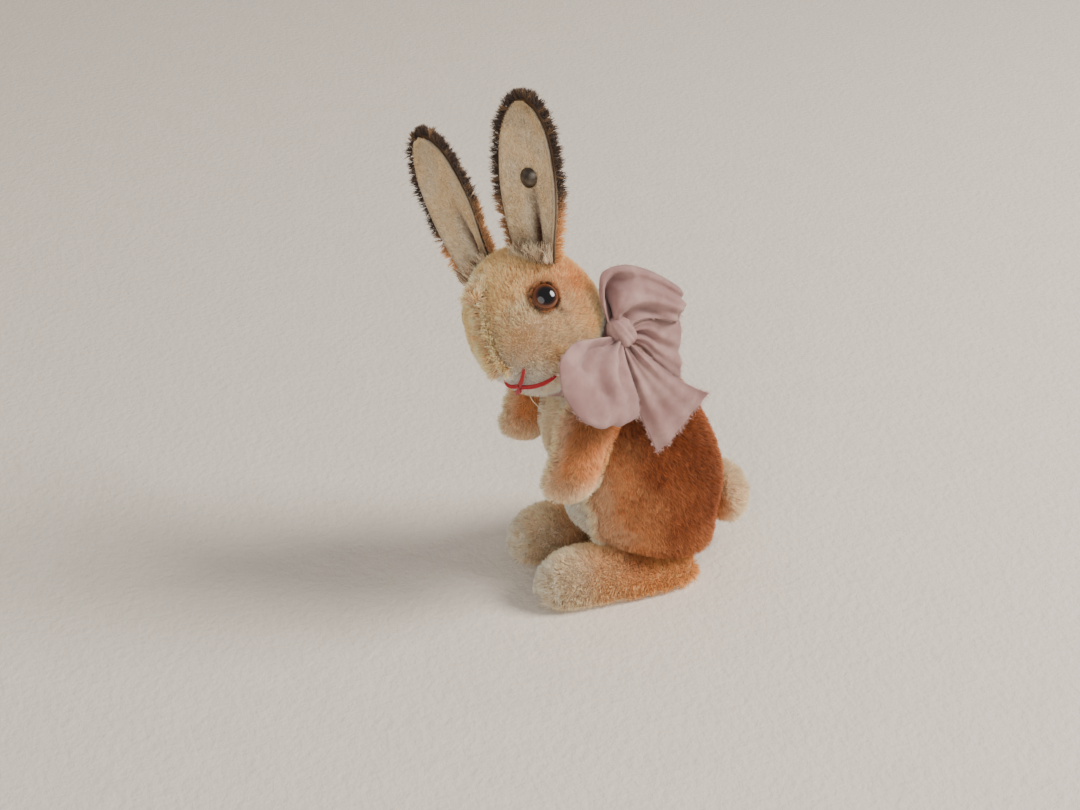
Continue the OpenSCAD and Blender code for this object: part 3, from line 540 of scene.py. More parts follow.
def strands(name, root, way, length, width, colour, body, material, nodes=(), seed=1, curl=0.22,
            tip_shade=1.12, clump=0.35, clump_size=1.6, side=None):
    """Tapered hairs from roots, each two quads long, with a UV place of its own for each."""
    r = np.random.default_rng(seed)
    n = len(root)
    length = np.broadcast_to(length, n) * r.uniform(0.72, 1.15, n)
    lean = np.stack([cloud(root, clump_size, k) for k in (0.3, 7.7, 13.1)], -1) - 0.5
    way = unit(way + clump * 2 * lean + r.normal(0, 0.13, (n, 3)))
    bend = r.normal(0, 1, (n, 3)) * curl
    mid = root + way * (length * 0.55)[:, None]
    tip = mid + unit(way + bend) * (length * 0.5)[:, None]
    across = unit(np.cross(way, r.normal(0, 1, (n, 3)) if side is None else side + r.normal(0, 0.35, (n, 3))))
    width = np.broadcast_to(width, n) * r.uniform(0.8, 1.2, n)
    verts = np.stack([root - across * (width / 2)[:, None], root + across * (width / 2)[:, None],
                      mid - across * (width * 0.46)[:, None], mid + across * (width * 0.46)[:, None],
                      tip - across * (width * 0.12)[:, None], tip + across * (width * 0.12)[:, None]], 1)
    b = np.arange(n)[:, None] * 6
    faces = np.concatenate([b + np.array([[0, 1, 3, 2]]), b + np.array([[2, 3, 5, 4]])])
    shade = r.uniform(0.92, 1.2, n)[:, None]
    # Painted shade darkens each hair towards its root, and painted light brightens its tip by tip_shade.
    roots, mids, tips = colour * 0.78 * shade, colour * 0.98 * shade, colour * tip_shade * shade
    colours = np.stack([roots, roots, mids, mids, tips, tips], 1)
    cells = int(math.ceil(math.sqrt(n)))
    corner = np.stack([np.arange(n) % cells, np.arange(n) // cells], -1)[:, None, :]
    spot = np.array([[.1, .1], [.9, .1], [.1, .5], [.9, .5], [.1, .9], [.9, .9]])[None]
    ob = mesh_object(name, verts, faces, material, colours, bake=(corner + spot) / cells)
    if nodes:
        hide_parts(*nodes)
    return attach(ob, body)


def pile(name, kind, place, body, material, count, s_range, a_range, seed, length=1.9, width=0.17, comb=(0, 0, -0.5),
         keep=None, slot=None, **more):
    """Pile over part of a form, combed towards a direction in the form's own frame."""
    s, a = pick(kind, count, *s_range, *a_range, seed, keep)
    p, n = form_point(kind, s, a), form_normal(kind, s, a)
    way = n + (comb(p, s, a) if callable(comb) else np.array(comb))
    reach = length(p, s, a) if callable(length) else length
    colour = COLOUR[kind](p, s, a)
    if kind == "foot":
        lift = p[..., 2] > 1.0
        p, n, way, colour = p[lift], n[lift], way[lift], colour[lift]
        reach = reach[lift] if np.ndim(reach) else reach
        way[..., 2] = np.maximum(way[..., 2], -0.25)
    at = place(p - 0.3 * n)
    out = place(p - 0.3 * n + unit(way)) - at
    ob = strands(name, at, out, reach, width, colour, body, material, seed=seed, **more)
    return ob


# ---- Materials of the rabbit ----
def pile_material(name, through=0.35):
    m = Nodes(name)
    colour = m.attribute("pile")
    speck = m.curve(m.noise(700, 2), 0.3, 0.75)
    colour = m.mix(speck, m.mix(0.16, colour, (0.02, 0.012, 0.008)), colour)
    return m.shader(colour, 0.62, sheen=0.15, glow_through=through, specular=0.25)


def backing_material():
    m = Nodes("mohair_backing")
    colour = m.mix(m.noise(1800, 2), m.mix(0.25, m.attribute("pile"), (0.03, 0.02, 0.012)), m.attribute("pile"))
    return m.shader(colour, 0.9, bump=(m.noise(2600, 3), 0.5, 0.0003), specular=0.2)


def velvet_material():
    m = Nodes("ear_velvet")
    nap = m.noise(900, 4, (1, 1, 0.25))
    colour = m.mix(nap, m.mix(0.18, m.attribute("pile"), (0.10, 0.06, 0.035)), m.attribute("pile"))
    return m.shader(colour, 0.85, bump=(m.noise(3200, 3), 0.35, 0.00012), sheen=0.35, specular=0.2)


def silk_material():
    m = Nodes("crepe_silk")
    weave = m.math("MULTIPLY", m.wave(4.6, "X", "Flat", 1.2), m.wave(4.6, "Y", "Flat", 1.2))
    crepe = m.math("ADD", m.math("MULTIPLY", weave, 0.7), m.noise(2.2, 3, (1, 3, 1), "Flat"))
    tone = m.mix(m.curve(m.noise(140, 3), 0.35, 0.7), tuple(PINK_DARK), tuple(PINK))
    colour = m.mix(m.curve(crepe, 0.35, 1.0), m.mix(0.2, tone, (0.20, 0.09, 0.09)), tone)
    # The pile attribute darkens the silk here: painted shade in its folds and near the knot.
    colour = m.mix(m.attribute("pile"), (0.15, 0.065, 0.062), colour)
    return m.shader(colour, 0.6, bump=(crepe, 0.6, 0.0002), sheen=0.25, glow_through=0.22, specular=0.35)


def thread_material(name, dark, light):
    m = Nodes(name)
    colour = m.mix(m.noise(1500, 3), tuple(dark), tuple(light))
    return m.shader(colour, 0.7, bump=(m.noise(5000, 2), 0.4, 0.0001), sheen=0.2, specular=0.3)


def metal_material():
    m = Nodes("stud_metal")
    worn = m.curve(m.noise(500, 4), 0.35, 0.75)
    colour = m.mix(worn, (0.085, 0.068, 0.055), (0.19, 0.165, 0.14))
    rough = m.new("ShaderNodeMapRange", {0: m.noise(1400, 4), 1: 0.3, 2: 0.7, 3: 0.26, 4: 0.48}).outputs[0]
    return m.shader(colour, rough, metal=1.0, bump=(m.noise(2400, 3), 0.12, 0.0001))


def steel_material():
    m = Nodes("wire_steel")
    colour = m.mix(m.noise(300, 4), (0.45, 0.46, 0.48), (0.60, 0.61, 0.62))
    return m.shader(colour, 0.35, metal=1.0, bump=(m.noise(4000, 2), 0.1, 0.00005))


def board_material():
    m = Nodes("board")
    colour = m.mix(m.noise(700, 5), tuple(srgb(132, 104, 72)), tuple(srgb(176, 146, 108)))
    return m.shader(colour, 0.85, bump=(m.noise(1500, 4), 0.3, 0.0001), specular=0.25)


def glass_material():
    m = Nodes("eye_glass")
    colour = m.attribute("pile")
    streak = m.noise(1500, 3)
    colour = m.mix(m.math("MULTIPLY", streak, 0.35), colour, m.mix(0.5, colour, (0.01, 0.004, 0.002)))
    rough = m.new("ShaderNodeMapRange", {0: m.noise(900, 2), 3: 0.05, 4: 0.11}).outputs[0]
    return m.shader(colour, rough, coat=0.25, specular=0.35)


def sole_material():
    m = Nodes("sole_velvet")
    colour = m.mix(m.noise(260, 4), tuple(VELVET * 0.75), tuple(VELVET))
    return m.shader(colour, 0.9, bump=(m.noise(2600, 3), 0.4, 0.0002), sheen=0.2, specular=0.2)


FUR, FRINGE, BACKING, VELVET_CLOTH, SILK = (pile_material("mohair"), pile_material("mohair_fringe", 0.2),
                                            backing_material(), velvet_material(), silk_material())
METAL, STEEL, BOARD, GLASS = metal_material(), steel_material(), board_material(), glass_material()
SOLE = sole_material()
THREAD = thread_material("red_thread", srgb(140, 20, 30), srgb(186, 44, 52))
FLAX = thread_material("pale_thread", srgb(196, 176, 140), srgb(226, 208, 176))
FLUFF = pile_material("ribbon_fray_silk", 0.3)


# ---- Body, head, arms, feet and tail ----
def body_comb(p, s, a):
    return np.stack([0 * a, 0.1 + 0 * a, -0.55 - 0.2 * step(np.abs(a), 60, 120)], -1)


def away_from_nose(p, s, a):
    back = unit(p - NOSE_AT) * 0.75
    back[..., 2] += 0.15
    return back


def head_length(p, s, a):
    q = folded(p)
    near_eye = step(np.linalg.norm(q - EYE_AT, axis=-1), 5.5, 3)
    chin = step(p[..., 2], 8, 3) * step(p[..., 1], -8, -13)
    crown = step(s, 5.6, 7)
    return 1.45 + 0.9 * chin + 0.5 * crown - 0.7 * near_eye


def off_the_eyes(p, s, a):
    q = folded(p)
    return np.where(np.linalg.norm(q - EYE_AT, axis=-1) > 3.0, 1.0, 0.0)


def build_body():
    cover("body_cover", "body", lambda p: p, BACKING, 90, 96,
          ("body_side_left", "body_side_right", "belly_panel", "body_stuffing"), "torso")
    last = len(ROWS["body"]) - 1.6
    for name, a0, a1, count, seed, slot in (("body_pile_left", 30, 180, 34000, 11, "plush_rust"),
                                            ("body_pile_right", 180, 330, 34000, 12, "plush_rust"),
                                            ("body_pile_belly", -32, 32, 15000, 13, "plush_cream")):
        pile(name, "body", lambda p: p, "torso", FUR, count, (0.05, last), (a0, a1), seed, length=1.9,
             comb=body_comb, slot=slot, side=np.array([0.2, 1, 0.2]))
    for i, at in enumerate((34, 326)):
        pile("body_seam_%d" % (i + 1), "body", lambda p: p, "torso", FUR, 2600, (0.4, last), (at - 2.5, at + 2.5),
             21 + i, length=3.0, comb=(0, -0.3, -0.1), slot="plush_cream", clump=0.7, tip_shade=1.5)


def build_head():
    cover("head_cover", "head", in_head, BACKING, 80, 96,
          ("head_side_left", "head_side_right", "head_stuffing"), "head")
    for name, a0, a1, seed in (("head_pile_left", 0, 180, 31), ("head_pile_right", 180, 360, 32)):
        pile(name, "head", in_head, "head", FUR, 32000, (1.3, 9.8), (a0, a1), seed, length=head_length,
             comb=away_from_nose, keep=off_the_eyes, side=np.array([1, 0.3, 0]), width=0.15, tip_shade=1.35)
    s, a = pick("head", 5200, 4.9, 10.2, -7, 7, 41)
    p, n = form_point("head", s, a), form_normal("head", s, a)
    fan = unit(n + np.sign(a)[:, None] * np.array([0.75, 0, 0]) + np.array([0, 0, 0.2]))
    at = in_head(p - 0.2 * n)
    out = in_head(p - 0.2 * n + fan) - at
    pale = blend(GOLD, CREAM, cloud(p, 2))
    # Tan patches among the pale hairs are painted shade between the tufts.
    pale = blend(pale, TAN, step(cloud(p, 0.8, 5), 0.6, 0.8) * 0.8)
    ob = strands("head_seam_pile", at, out, 3.3, 0.2, pale, "head", FUR, seed=42, clump=0.6, clump_size=0.7,
                 curl=0.1, tip_shade=1.35)


def build_limbs():
    for side, name in ((1, "left"), (-1, "right")):
        def to_arm(p, side=side):
            return at_arm(p, side)

        def to_foot(p, side=side):
            return at_foot(p, side)
        cover("arm_cover_" + name, "arm", to_arm, BACKING, 50, 48,
              tuple(k + name for k in ("arm_outer_", "arm_inner_", "arm_stuffing_")), "arm_" + name)
        pile("arm_pile_" + name, "arm", to_arm, "arm_" + name, FUR, 15000, (0.1, 7.9), (0, 360), 50 + side,
             length=1.6, comb=(0, -0.1, -0.6), side=np.array([1, 0.3, 0]))
        for i, at in enumerate((0, 180)):
            pile("arm_seam_%s_%d" % (name, i + 1), "arm", to_arm, "arm_" + name, FUR, 1500, (0.5, 7.2),
                 (at - 14, at + 14), 55 + i + 3 * side, length=2.7, comb=(0, 0, -0.15), clump=0.75, tip_shade=1.45)
        cover("foot_cover_" + name, "foot", to_foot, BACKING, 60, 48,
              tuple(k + name for k in ("foot_upper_", "foot_stuffing_")), "torso")
        pile("foot_pile_" + name, "foot", to_foot, "torso", FUR, 24000, (0.1, 7.95), (40, 320), 60 + side,
             length=1.9, comb=(0, -0.45, 0.05), side=np.array([1, 0.3, 0]))
        pile("foot_toe_tuft_" + name, "foot", to_foot, "torso", FUR, 2600, (6.3, 7.95), (70, 290), 65 + side,
             length=2.9, comb=(0, -0.5, 0.35), clump=0.8, tip_shade=1.5)
    cover("tail_cover", "tail", at_tail, BACKING, 30, 32, ("tail",), "torso")
    pile("tail_pile", "tail", at_tail, "torso", FUR, 9000, (0.4, 5.9), (0, 360), 71, length=3.0,
         comb=(0, 0, 0.5), clump=0.6, width=0.17)


# ---- Ears ----
def ear_point(s, v, extra=0.0, out=0.0):
    rows = np.array([(up, wide, deep) for wide, deep, up in PAGE["ear"]])
    r = spline(rows, s)
    foot = -EAR_DROP * (v + 1) / 2
    return np.stack([v * (r[..., 1] * EAR_W / 2 + extra), r[..., 2] * EAR_CUP * (0.4 - v * v) + out,
                     foot + r[..., 0] * (EAR_L + extra - foot)], -1)


def ear_crease(s, v, side):
    """Depth of the folds in the lining, deepest below the stud and towards the root."""
    low = step(s, 3.3, 0.4)
    middle = 0.06 * side
    return low * (1.6 * np.exp(-((v - middle) / 0.22) ** 2) - 0.9 * np.exp(-((v - middle - 0.42) / 0.2) ** 2)
                  - 0.7 * np.exp(-((v - middle + 0.44) / 0.2) ** 2))


def ear_front(s, v, side):
    return ear_point(s, v, 0.0, -EAR_T / 2) + np.stack([0 * s, ear_crease(s, v, side) * 0.8, 0 * s], -1)


def thin_solid(front, back, rows, columns):
    """Points and faces of a closed sheet between two grids of points."""
    n = rows * columns
    inside = grid_faces(rows, columns)
    faces = [inside, inside[:, ::-1] + n]
    i, j = np.arange(rows - 1), np.arange(columns - 1)
    left, right = i * columns, i * columns + columns - 1
    bottom, top = j, (rows - 1) * columns + j
    faces.append(np.stack([left + columns, left, left + n, left + columns + n], -1))
    faces.append(np.stack([right, right + columns, right + columns + n, right + n], -1))
    faces.append(np.stack([bottom, bottom + 1, bottom + 1 + n, bottom + n], -1))
    faces.append(np.stack([top + 1, top, top + n, top + 1 + n], -1))
    return np.concatenate([front.reshape(-1, 3), back.reshape(-1, 3)]), np.concatenate(faces)


def ear_lining_colour(p, s, v, side):
    c = blend(VELVET, srgb(226, 210, 184), step(cloud(p, 4, 2), 0.3, 0.75) * 0.7)
    # Painted shade: the lining is darkened along its crease, at its root and towards its edges.
    c = blend(c, VELVET_SHADE, np.clip(ear_crease(s, v, side) * 0.85, 0, 1))
    c = blend(c, VELVET_SHADE, step(s, 1.4, 0.1) * 0.7)
    return blend(c, VELVET_SHADE, step(np.abs(v), 0.86, 1.0) * 0.35)


def build_ear(side, name):
    rows, columns, last = 90, 41, len(PAGE["ear"]) - 1
    s, v = np.meshgrid(np.linspace(0, last, rows), np.linspace(-1, 1, columns), indexing="ij")
    front, back = ear_front(s, v, side), ear_point(s, v, 0.0, EAR_T / 2)
    back[..., 1] = np.maximum(back[..., 1], front[..., 1] + 0.3)
    verts, faces = thin_solid(front, back, rows, columns)
    colour = ear_lining_colour(front, s, v, side)
    lining = mesh_object("ear_velvet_" + name, at_ear(verts, side), faces if side < 0 else faces[:, ::-1],
                         VELVET_CLOTH, np.concatenate([colour.reshape(-1, 3)] * 2))
    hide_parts("ear_lining_" + name)
    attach(lining, "head")
    r = np.random.default_rng(80 + side)
    n = 15000
    s, v = r.uniform(0.1, last - 0.08, n), r.uniform(-0.97, 0.97, n)
    p = ear_front(s, v, side)
    at = at_ear(p, side)
    out = at_ear(p + np.stack([0.25 * np.sign(v), -0.45 + 0 * v, 0.8 + 0 * v], -1), side) - at
    nap = strands("ear_nap_" + name, at, unit(out), 0.62, 0.11, ear_lining_colour(p, s, v, side) * 1.08, "head", FUR,
                  seed=84 + side, clump=0.35, clump_size=2.2)
    border, far = 0.7, EAR_T * 1.5
    s, v = np.meshgrid(np.linspace(0, last, rows), np.linspace(-1, 1, columns), indexing="ij")
    pushed = np.stack([0 * s, np.maximum(ear_crease(s, v, side), 0) * 0.8, 0 * s], -1)
    verts, faces = thin_solid(ear_point(s, v, border, EAR_T / 2 + 0.05) + pushed,
                              ear_point(s, v, border, far) + pushed, rows, columns)
    tone = ear_back_colour(verts, np.concatenate([s.ravel()] * 2))
    # The backing is darkened to 0.6 as painted shade under the pile.
    back = mesh_object("ear_back_cloth_" + name, at_ear(verts, side), faces if side < 0 else faces[:, ::-1],
                       BACKING, tone * 0.6)
    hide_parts("ear_back_" + name)
    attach(back, "head")
    n = 17000
    s, v = r.uniform(0, last - 0.05, n), r.uniform(-1, 1, n)
    p = ear_point(s, v, border, far)
    p[:, 1] += np.maximum(ear_crease(s, v, side), 0) * 0.8
    at = at_ear(p, side)
    out = at_ear(p + np.stack([0.5 * v, 0.8 + 0 * v, 0.45 + 0 * v], -1), side) - at
    hair = strands("ear_pile_" + name, at, unit(out), 1.7, 0.16, ear_back_colour(p, s), "head", FUR,
                   seed=88 + side)
    n = 1100
    p = np.stack([r.uniform(-5.6, 5.6, n), r.uniform(-3.4, -1.3, n), r.uniform(-2.4, 0.6, n)], -1)
    at = at_ear(p, side)
    out = at_ear(p + unit(np.stack([p[:, 0] * 0.05, -0.45 + 0 * p[:, 0], 1 + 0 * p[:, 0]], -1)), side) - at
    tone = blend(CREAM, BROWN, step(cloud(p, 0.7), 0.5, 0.75) * 0.8)
    tuft = strands("ear_root_tuft_" + name, at, out, 2.7, 0.17, tone, "head", FUR, seed=96 + side, clump=0.4)
    n, tip = 4200, 700
    along = np.concatenate([r.uniform(0.15, last, n - tip), np.full(tip, float(last))])
    edge = np.concatenate([np.repeat([-1.0, 1.0], (n - tip) // 2), r.uniform(-1, 1, tip)])
    over = r.uniform(-0.25, 1, n)
    p = ear_point(along, edge, border, EAR_T / 2 + over * far * 0.6)
    up = step(along, last - 1.3, last)
    out = np.stack([edge * (1.0 - 0.2 * up), -0.12 + 0.4 * over, 0.22 + 1.0 * up], -1)
    at = at_ear(p, side)
    way = unit(at_ear(p + out, side) - at)
    tone = ear_fringe_colour(p, along, edge)
    fringe = strands("ear_fringe_" + name, at, way, 2.35 - 0.3 * step(along, 1.6, 0.3), 0.17, tone, "head", FRINGE,
                     seed=92 + side, clump=0.62, clump_size=0.55, curl=0.2, tip_shade=1.5)


def ear_back_colour(p, s):
    c = blend(GOLD, CREAM, step(cloud(p, 3, 6), 0.3, 0.8))
    return blend(c, BROWN, step(s, 1.9, 3.4) * 0.9)


def ear_fringe_colour(p, s, edge):
    c = blend(DARK, TAN, step(cloud(p, 0.6, 6), 0.55, 0.9) * 0.45)
    outer = np.where(edge > 0, 1.0, 0.45)
    return blend(c, PEACH, step(s, 2.6, 1.3) * outer)


# ---- Eyes, stitches, whisker and stud ----
def tube(name, points, radius, sides, material, body, twist=0.0, lobes=0, taper=None):
    """A round or twisted thread along points, closed at both ends."""
    points = np.asarray(points, float)
    n = len(points)
    t = unit(np.gradient(points, axis=0))
    u = unit(np.cross(t, np.array([0.31, 0.2, 0.93])))
    w = np.cross(t, u)
    run = np.concatenate([[0], np.cumsum(np.linalg.norm(np.diff(points, axis=0), axis=1))])
    ang = np.arange(sides) * 2 * math.pi / sides
    r = radius * (np.ones(n) if taper is None else taper)
    shape = 1 + 0.16 * np.cos(lobes * (ang[None] - twist * run[:, None])) if lobes else np.ones((n, sides))
    ring = points[:, None] + (r[:, None] * shape)[..., None] * (
        np.cos(ang)[None, :, None] * u[:, None] + np.sin(ang)[None, :, None] * w[:, None])
    ends = np.stack([points[0] - t[0] * r[0] * 0.5, points[-1] + t[-1] * r[-1] * 0.5])
    colour = np.ones((n * sides + 2, 3))
    ob = closed_object(name, np.concatenate([ring.reshape(-1, 3), ends]), grid_faces(n, sides, around=True),
                       n, sides, material, colour, True)
    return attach(ob, body)


def eye_frame():
    """The left eye's middle, two directions across it and its outward one."""
    n = form_normal("head", np.array(EYE_S), EYE_A)
    u = unit(np.cross(n, np.array([0.0, 0, 1])))
    return EYE_AT, u, np.cross(n, u), n


EYE_R, RIM_R = 3.1, 3.15


def build_eyes():
    at, u, w, n = eye_frame()
    rings, sides = 26, 64
    for side, name in ((1, "left"), (-1, "right")):
        r = EYE_R * np.sin(np.linspace(0.03, 1, rings) * math.pi / 2)
        lift = 0.35 + 1.75 * np.sqrt(np.maximum(1 - (r / 3.16) ** 2, 0))
        ang = np.arange(sides) * 2 * math.pi / sides
        p = at + r[:, None, None] * (np.cos(ang)[None, :, None] * u + np.sin(ang)[None, :, None] * w) \
            + lift[:, None, None] * n
        rad = np.broadcast_to(r[:, None], (rings, sides))
        c = blend(srgb(6, 6, 9), srgb(46, 22, 14),
                  step(rad, 1.85, 2.0))
        c = blend(c, srgb(108, 60, 36), step(rad, 2.1, 2.85))
        ends = np.stack([at + (lift[0] + 0.002) * n, at - 0.4 * n])
        colour = np.concatenate([c.reshape(-1, 3), c[0, :1], c[-1, :1]])
        verts = in_head(mirrored(np.concatenate([p.reshape(-1, 3), ends]), side))
        ob = closed_object("eye_" + name, verts, grid_faces(rings, sides, around=True), rings, sides, GLASS, colour,
                           side > 0)
        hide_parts("eye_glass_" + name, "eye_pupils")
        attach(ob, "head")
        # The eyelid is a rolled edge of darkened mohair round the glass.
        count = 3000
        g = np.random.default_rng(101 + side)
        turn = g.uniform(0, 2 * math.pi, count)
        rim = at + RIM_R * (np.cos(turn)[:, None] * u + np.sin(turn)[:, None] * w) + 0.1 * n
        out = unit(np.cos(turn)[:, None] * u + np.sin(turn)[:, None] * w + 1.1 * n)
        p = in_head(mirrored(rim, side))
        way = in_head(mirrored(rim + out, side)) - p
        tone = blend(srgb(206, 150, 104), BROWN,
                     step(cloud(rim, 0.9), 0.45, 0.8))
        lid = strands("eye_rim_" + name, p, way, 0.85, 0.10, tone, "head", FUR, seed=103 + side)


def on_head(s, a, lift):
    s, a = np.asarray(s, float), np.asarray(a, float)
    return form_point("head", s, a) + np.asarray(lift)[..., None] * form_normal("head", s, a)


NOSE_FROM, NOSE_TO = (4.05, 2), ((4.68, 22), (4.36, -12))
MOUTH_FROM, MOUTH_TO = (3.92, 2), ((3.42, 34), (3.2, -28))


def build_stitches():
    t = np.linspace(0, 1, 60)
    hump = 1.45 + 0.3 * np.sin(math.pi * t) - 0.8 * t ** 5
    for group, start, ends, node in (("nose", NOSE_FROM, NOSE_TO, "nose_stitching"),
                                     ("mouth", MOUTH_FROM, MOUTH_TO, "mouth_stitching")):
        for i, end in enumerate(ends):
            s = start[0] + (end[0] - start[0]) * t
            a = start[1] + (end[1] - start[1]) * t
            for k, shift in enumerate((-0.045, 0.045)):
                p = in_head(on_head(s + shift * (1 - 0.6 * t), a, hump - 0.25 * k))
                ob = tube("%s_stitch_%d%s" % (group, i + 1, "ab"[k]), p, 0.30, 12, THREAD, "head",
                          twist=5.5, lobes=3, taper=1 - 0.35 * t ** 6)
                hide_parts(node)
    p = in_head(on_head(np.linspace(4.22, 3.72, 20), np.linspace(4, -3, 20), 1.85))
    ob = tube("nose_stitch_end", p, 0.26, 12, THREAD, "head", twist=5.5, lobes=3)
    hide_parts("nose_stitching")


WHISKER = np.array([(-3.2, -15.2, 6), (-3.2, -16.2, 4.4), (-2.7, -16.9, 2.4), (-1.8, -17.2, 0.6), (-0.6, -17, -0.8)])


def build_whisker():
    p = in_head(spline(WHISKER, np.linspace(0, 4, 40)))
    ob = tube("whisker", p, 0.16, 8, FLAX, "head", taper=1 - 0.6 * np.linspace(0, 1, 40))
    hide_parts("whisker_thread")


def finish_hardware():
    """Materials of the parts that are shown as they are."""
    for names, material in ((("ear_stud", "ear_stud_washer"), METAL),
                            (("arm_wire", "arm_washers", "neck_pin", "neck_washers", "eye_shanks"), STEEL),
                            (("neck_disc_body", "neck_disc_head", "arm_disc_left", "arm_disc_right",
                              "foot_insole_left", "foot_insole_right"), BOARD),
                            (("foot_sole_left", "foot_sole_right"), SOLE)):
        for n in names:
            me = frame["nodes"][n].data
            me.materials.clear()
            me.materials.append(material)


# ---- Ribbon ----
low, high = (np.array(c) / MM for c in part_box("ribbon_knot"))
KNOT = (low + high) / 2 - BODY_MIDDLE
OUTWARD = np.array([0.81, -0.3, 0.5])
SILK_THICK = 0.16
# Each row holds a point of either edge of the strip, measured from the knot.
LOOP_UPPER = [(0.2, -2.4, 2.1, 1.2, 0.6, 1.1), (0.2, -4.9, 10.1, 2, 2.1, 2.4), (-0.8, -3.9, 15.6, 2.2, 5.1, 3.4),
              (-1.3, 2.1, 16.6, 1.9, 8.1, 3), (-1.5, 9.1, 13.6, 1.5, 11.5, 1.8), (-1.8, 15.1, 9.1, 0.2, 14.7, 0.3),
              (-4.3, 17.4, 6.1, -3.3, 16.3, -1.4), (-6.9, 15.1, 6.1, -6.7, 13.6, -1.2),
              (-7.1, 8.1, 7.6, -6.8, 7.6, -0.8), (-5.3, 2.1, 5.6, -4.3, 2.6, -0.8), (-1.8, 0.1, 2.2, -1.3, 1.1, -0.2)]
LOOP_LOWER = [(2.2, -2.9, -0.4, 2.7, 0.1, -1.9), (9, -13.2, 4.2, 5.2, 0.6, -5.4), (12.9, -19.2, 1.6, 8.4, 0.9, -9.4),
              (14.2, -19.4, -4.9, 11.2, 1.3, -12.9), (15.6, -16.4, -11.4, 13.2, 0.6, -15.9),
              (15.9, -13.6, -14.5, 13.5, -0.6, -17.3), (14.6, -12.1, -15.3, 12.1, -1.4, -17.5),
              (13.1, -11.5, -13.4, 10.5, -2, -15.6), (8.6, -11, -6.6, 6, -2.4, -8.4),
              (2.5, -5.2, -3.4, 2.1, -1.6, -4.3)]
TAIL_FRONT = [(1.9, 0.3, -3.8, 2.1, 2.9, -3), (4.3, 0.5, -7.9, 3.9, 6.1, -5.7), (6.9, 2.1, -15.9, 5.2, 12.6, -11.9),
              (8.5, 4.6, -23.4, 6.4, 17.6, -15.4), (9.2, 7.6, -30.6, 6.9, 21.6, -17.6)]
TAIL_BACK = [(0.7, 0.6, 0.6, 0.5, 0.6, -2.4), (-0.2, 6.6, 4.1, 0.9, 5.6, -4.9), (-1.4, 11.1, 3.1, 1.3, 9.6, -9.9),
             (-1.8, 15.1, 1.4, 1.2, 13.1, -13.9), (-2.4, 17.6, 0.2, 0.9, 16.1, -16.9)]


def cloth(name, rows, flat, node, folds, seed, loop=False, swell=0.8, grooves=()):
    """A strip of crumpled silk between the two edges in rows, gathered at the knot."""
    rows, steps, across = np.array(rows, float), 22, 49
    last = len(rows) - 1
    along = steps * last + 1
    u, v = np.meshgrid(np.linspace(0, last, along), np.linspace(0, 1, across), indexing="ij")
    edges = spline(rows, u)
    p = KNOT + edges[..., :3] * (1 - v[..., None]) + edges[..., 3:] * v[..., None]
    du, dv = np.gradient(p, axis=0), np.gradient(p, axis=1)
    n = unit(np.cross(dv, du))
    near = np.exp(-u / 0.9) + (np.exp(-(last - u) / 0.9) if loop else 0)
    g = np.random.default_rng(seed)
    h = np.zeros_like(u)
    for count, height in folds:
        phase = g.uniform(0, 2 * math.pi)
        drift = 0.55 * np.sin(u * 1.3 + g.uniform(0, 6))
        h += height * (0.3 + near) * np.sin(2 * math.pi * count * v + phase + drift)
    h += swell * np.sin(math.pi * v) * np.sin(math.pi * np.clip(u / last, 0, 1)) ** 0.7
    h += 1.1 * (cloud(p, 5.5, seed) - 0.5) + 0.4 * (cloud(p, 2.1, seed + 5) - 0.5)
    for v0, v1, wide, deep, u0, u1 in grooves:
        middle = v0 + (v1 - v0) * np.clip((u - u0) / (u1 - u0), 0, 1)
        h -= deep * np.exp(-((v - middle) / wide) ** 2) * step(u, u0 - 0.3, u0 + 0.3) * step(u, u1 + 0.3, u1 - 0.6)
    h *= 1 - 0.6 * np.exp(-u / 0.25)
    facing = np.sign((n[steps] @ OUTWARD).mean())
    p = p + facing * n * h[..., None]
    du, dv = np.gradient(p, axis=0), np.gradient(p, axis=1)
    n = unit(np.cross(dv, du))
    verts, faces = thin_solid(p + n * SILK_THICK / 2, p - n * SILK_THICK / 2, along, across)
    length = np.linalg.norm(du, axis=-1).cumsum(0)
    uv = np.stack([v * flat[0], length.mean(1, keepdims=True) + 0 * v], -1)
    # Painted shade: the silk is darkened in the hollows of its folds and where it goes into the knot.
    fold_shade = np.clip(0.86 + 0.13 * (h - h.mean(1, keepdims=True)) - 0.3 * np.exp(-u / 0.35), 0.35, 1)
    tone = np.repeat(np.tile(fold_shade.ravel(), 2)[:, None], 3, 1)
    ob = mesh_object(name, verts, faces, SILK, tone, flat=np.concatenate([uv.reshape(-1, 2)] * 2))
    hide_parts(node)
    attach(ob, "torso")
    fray = fringe_of(name + "_fray", p, n, seed, free_end=not loop)


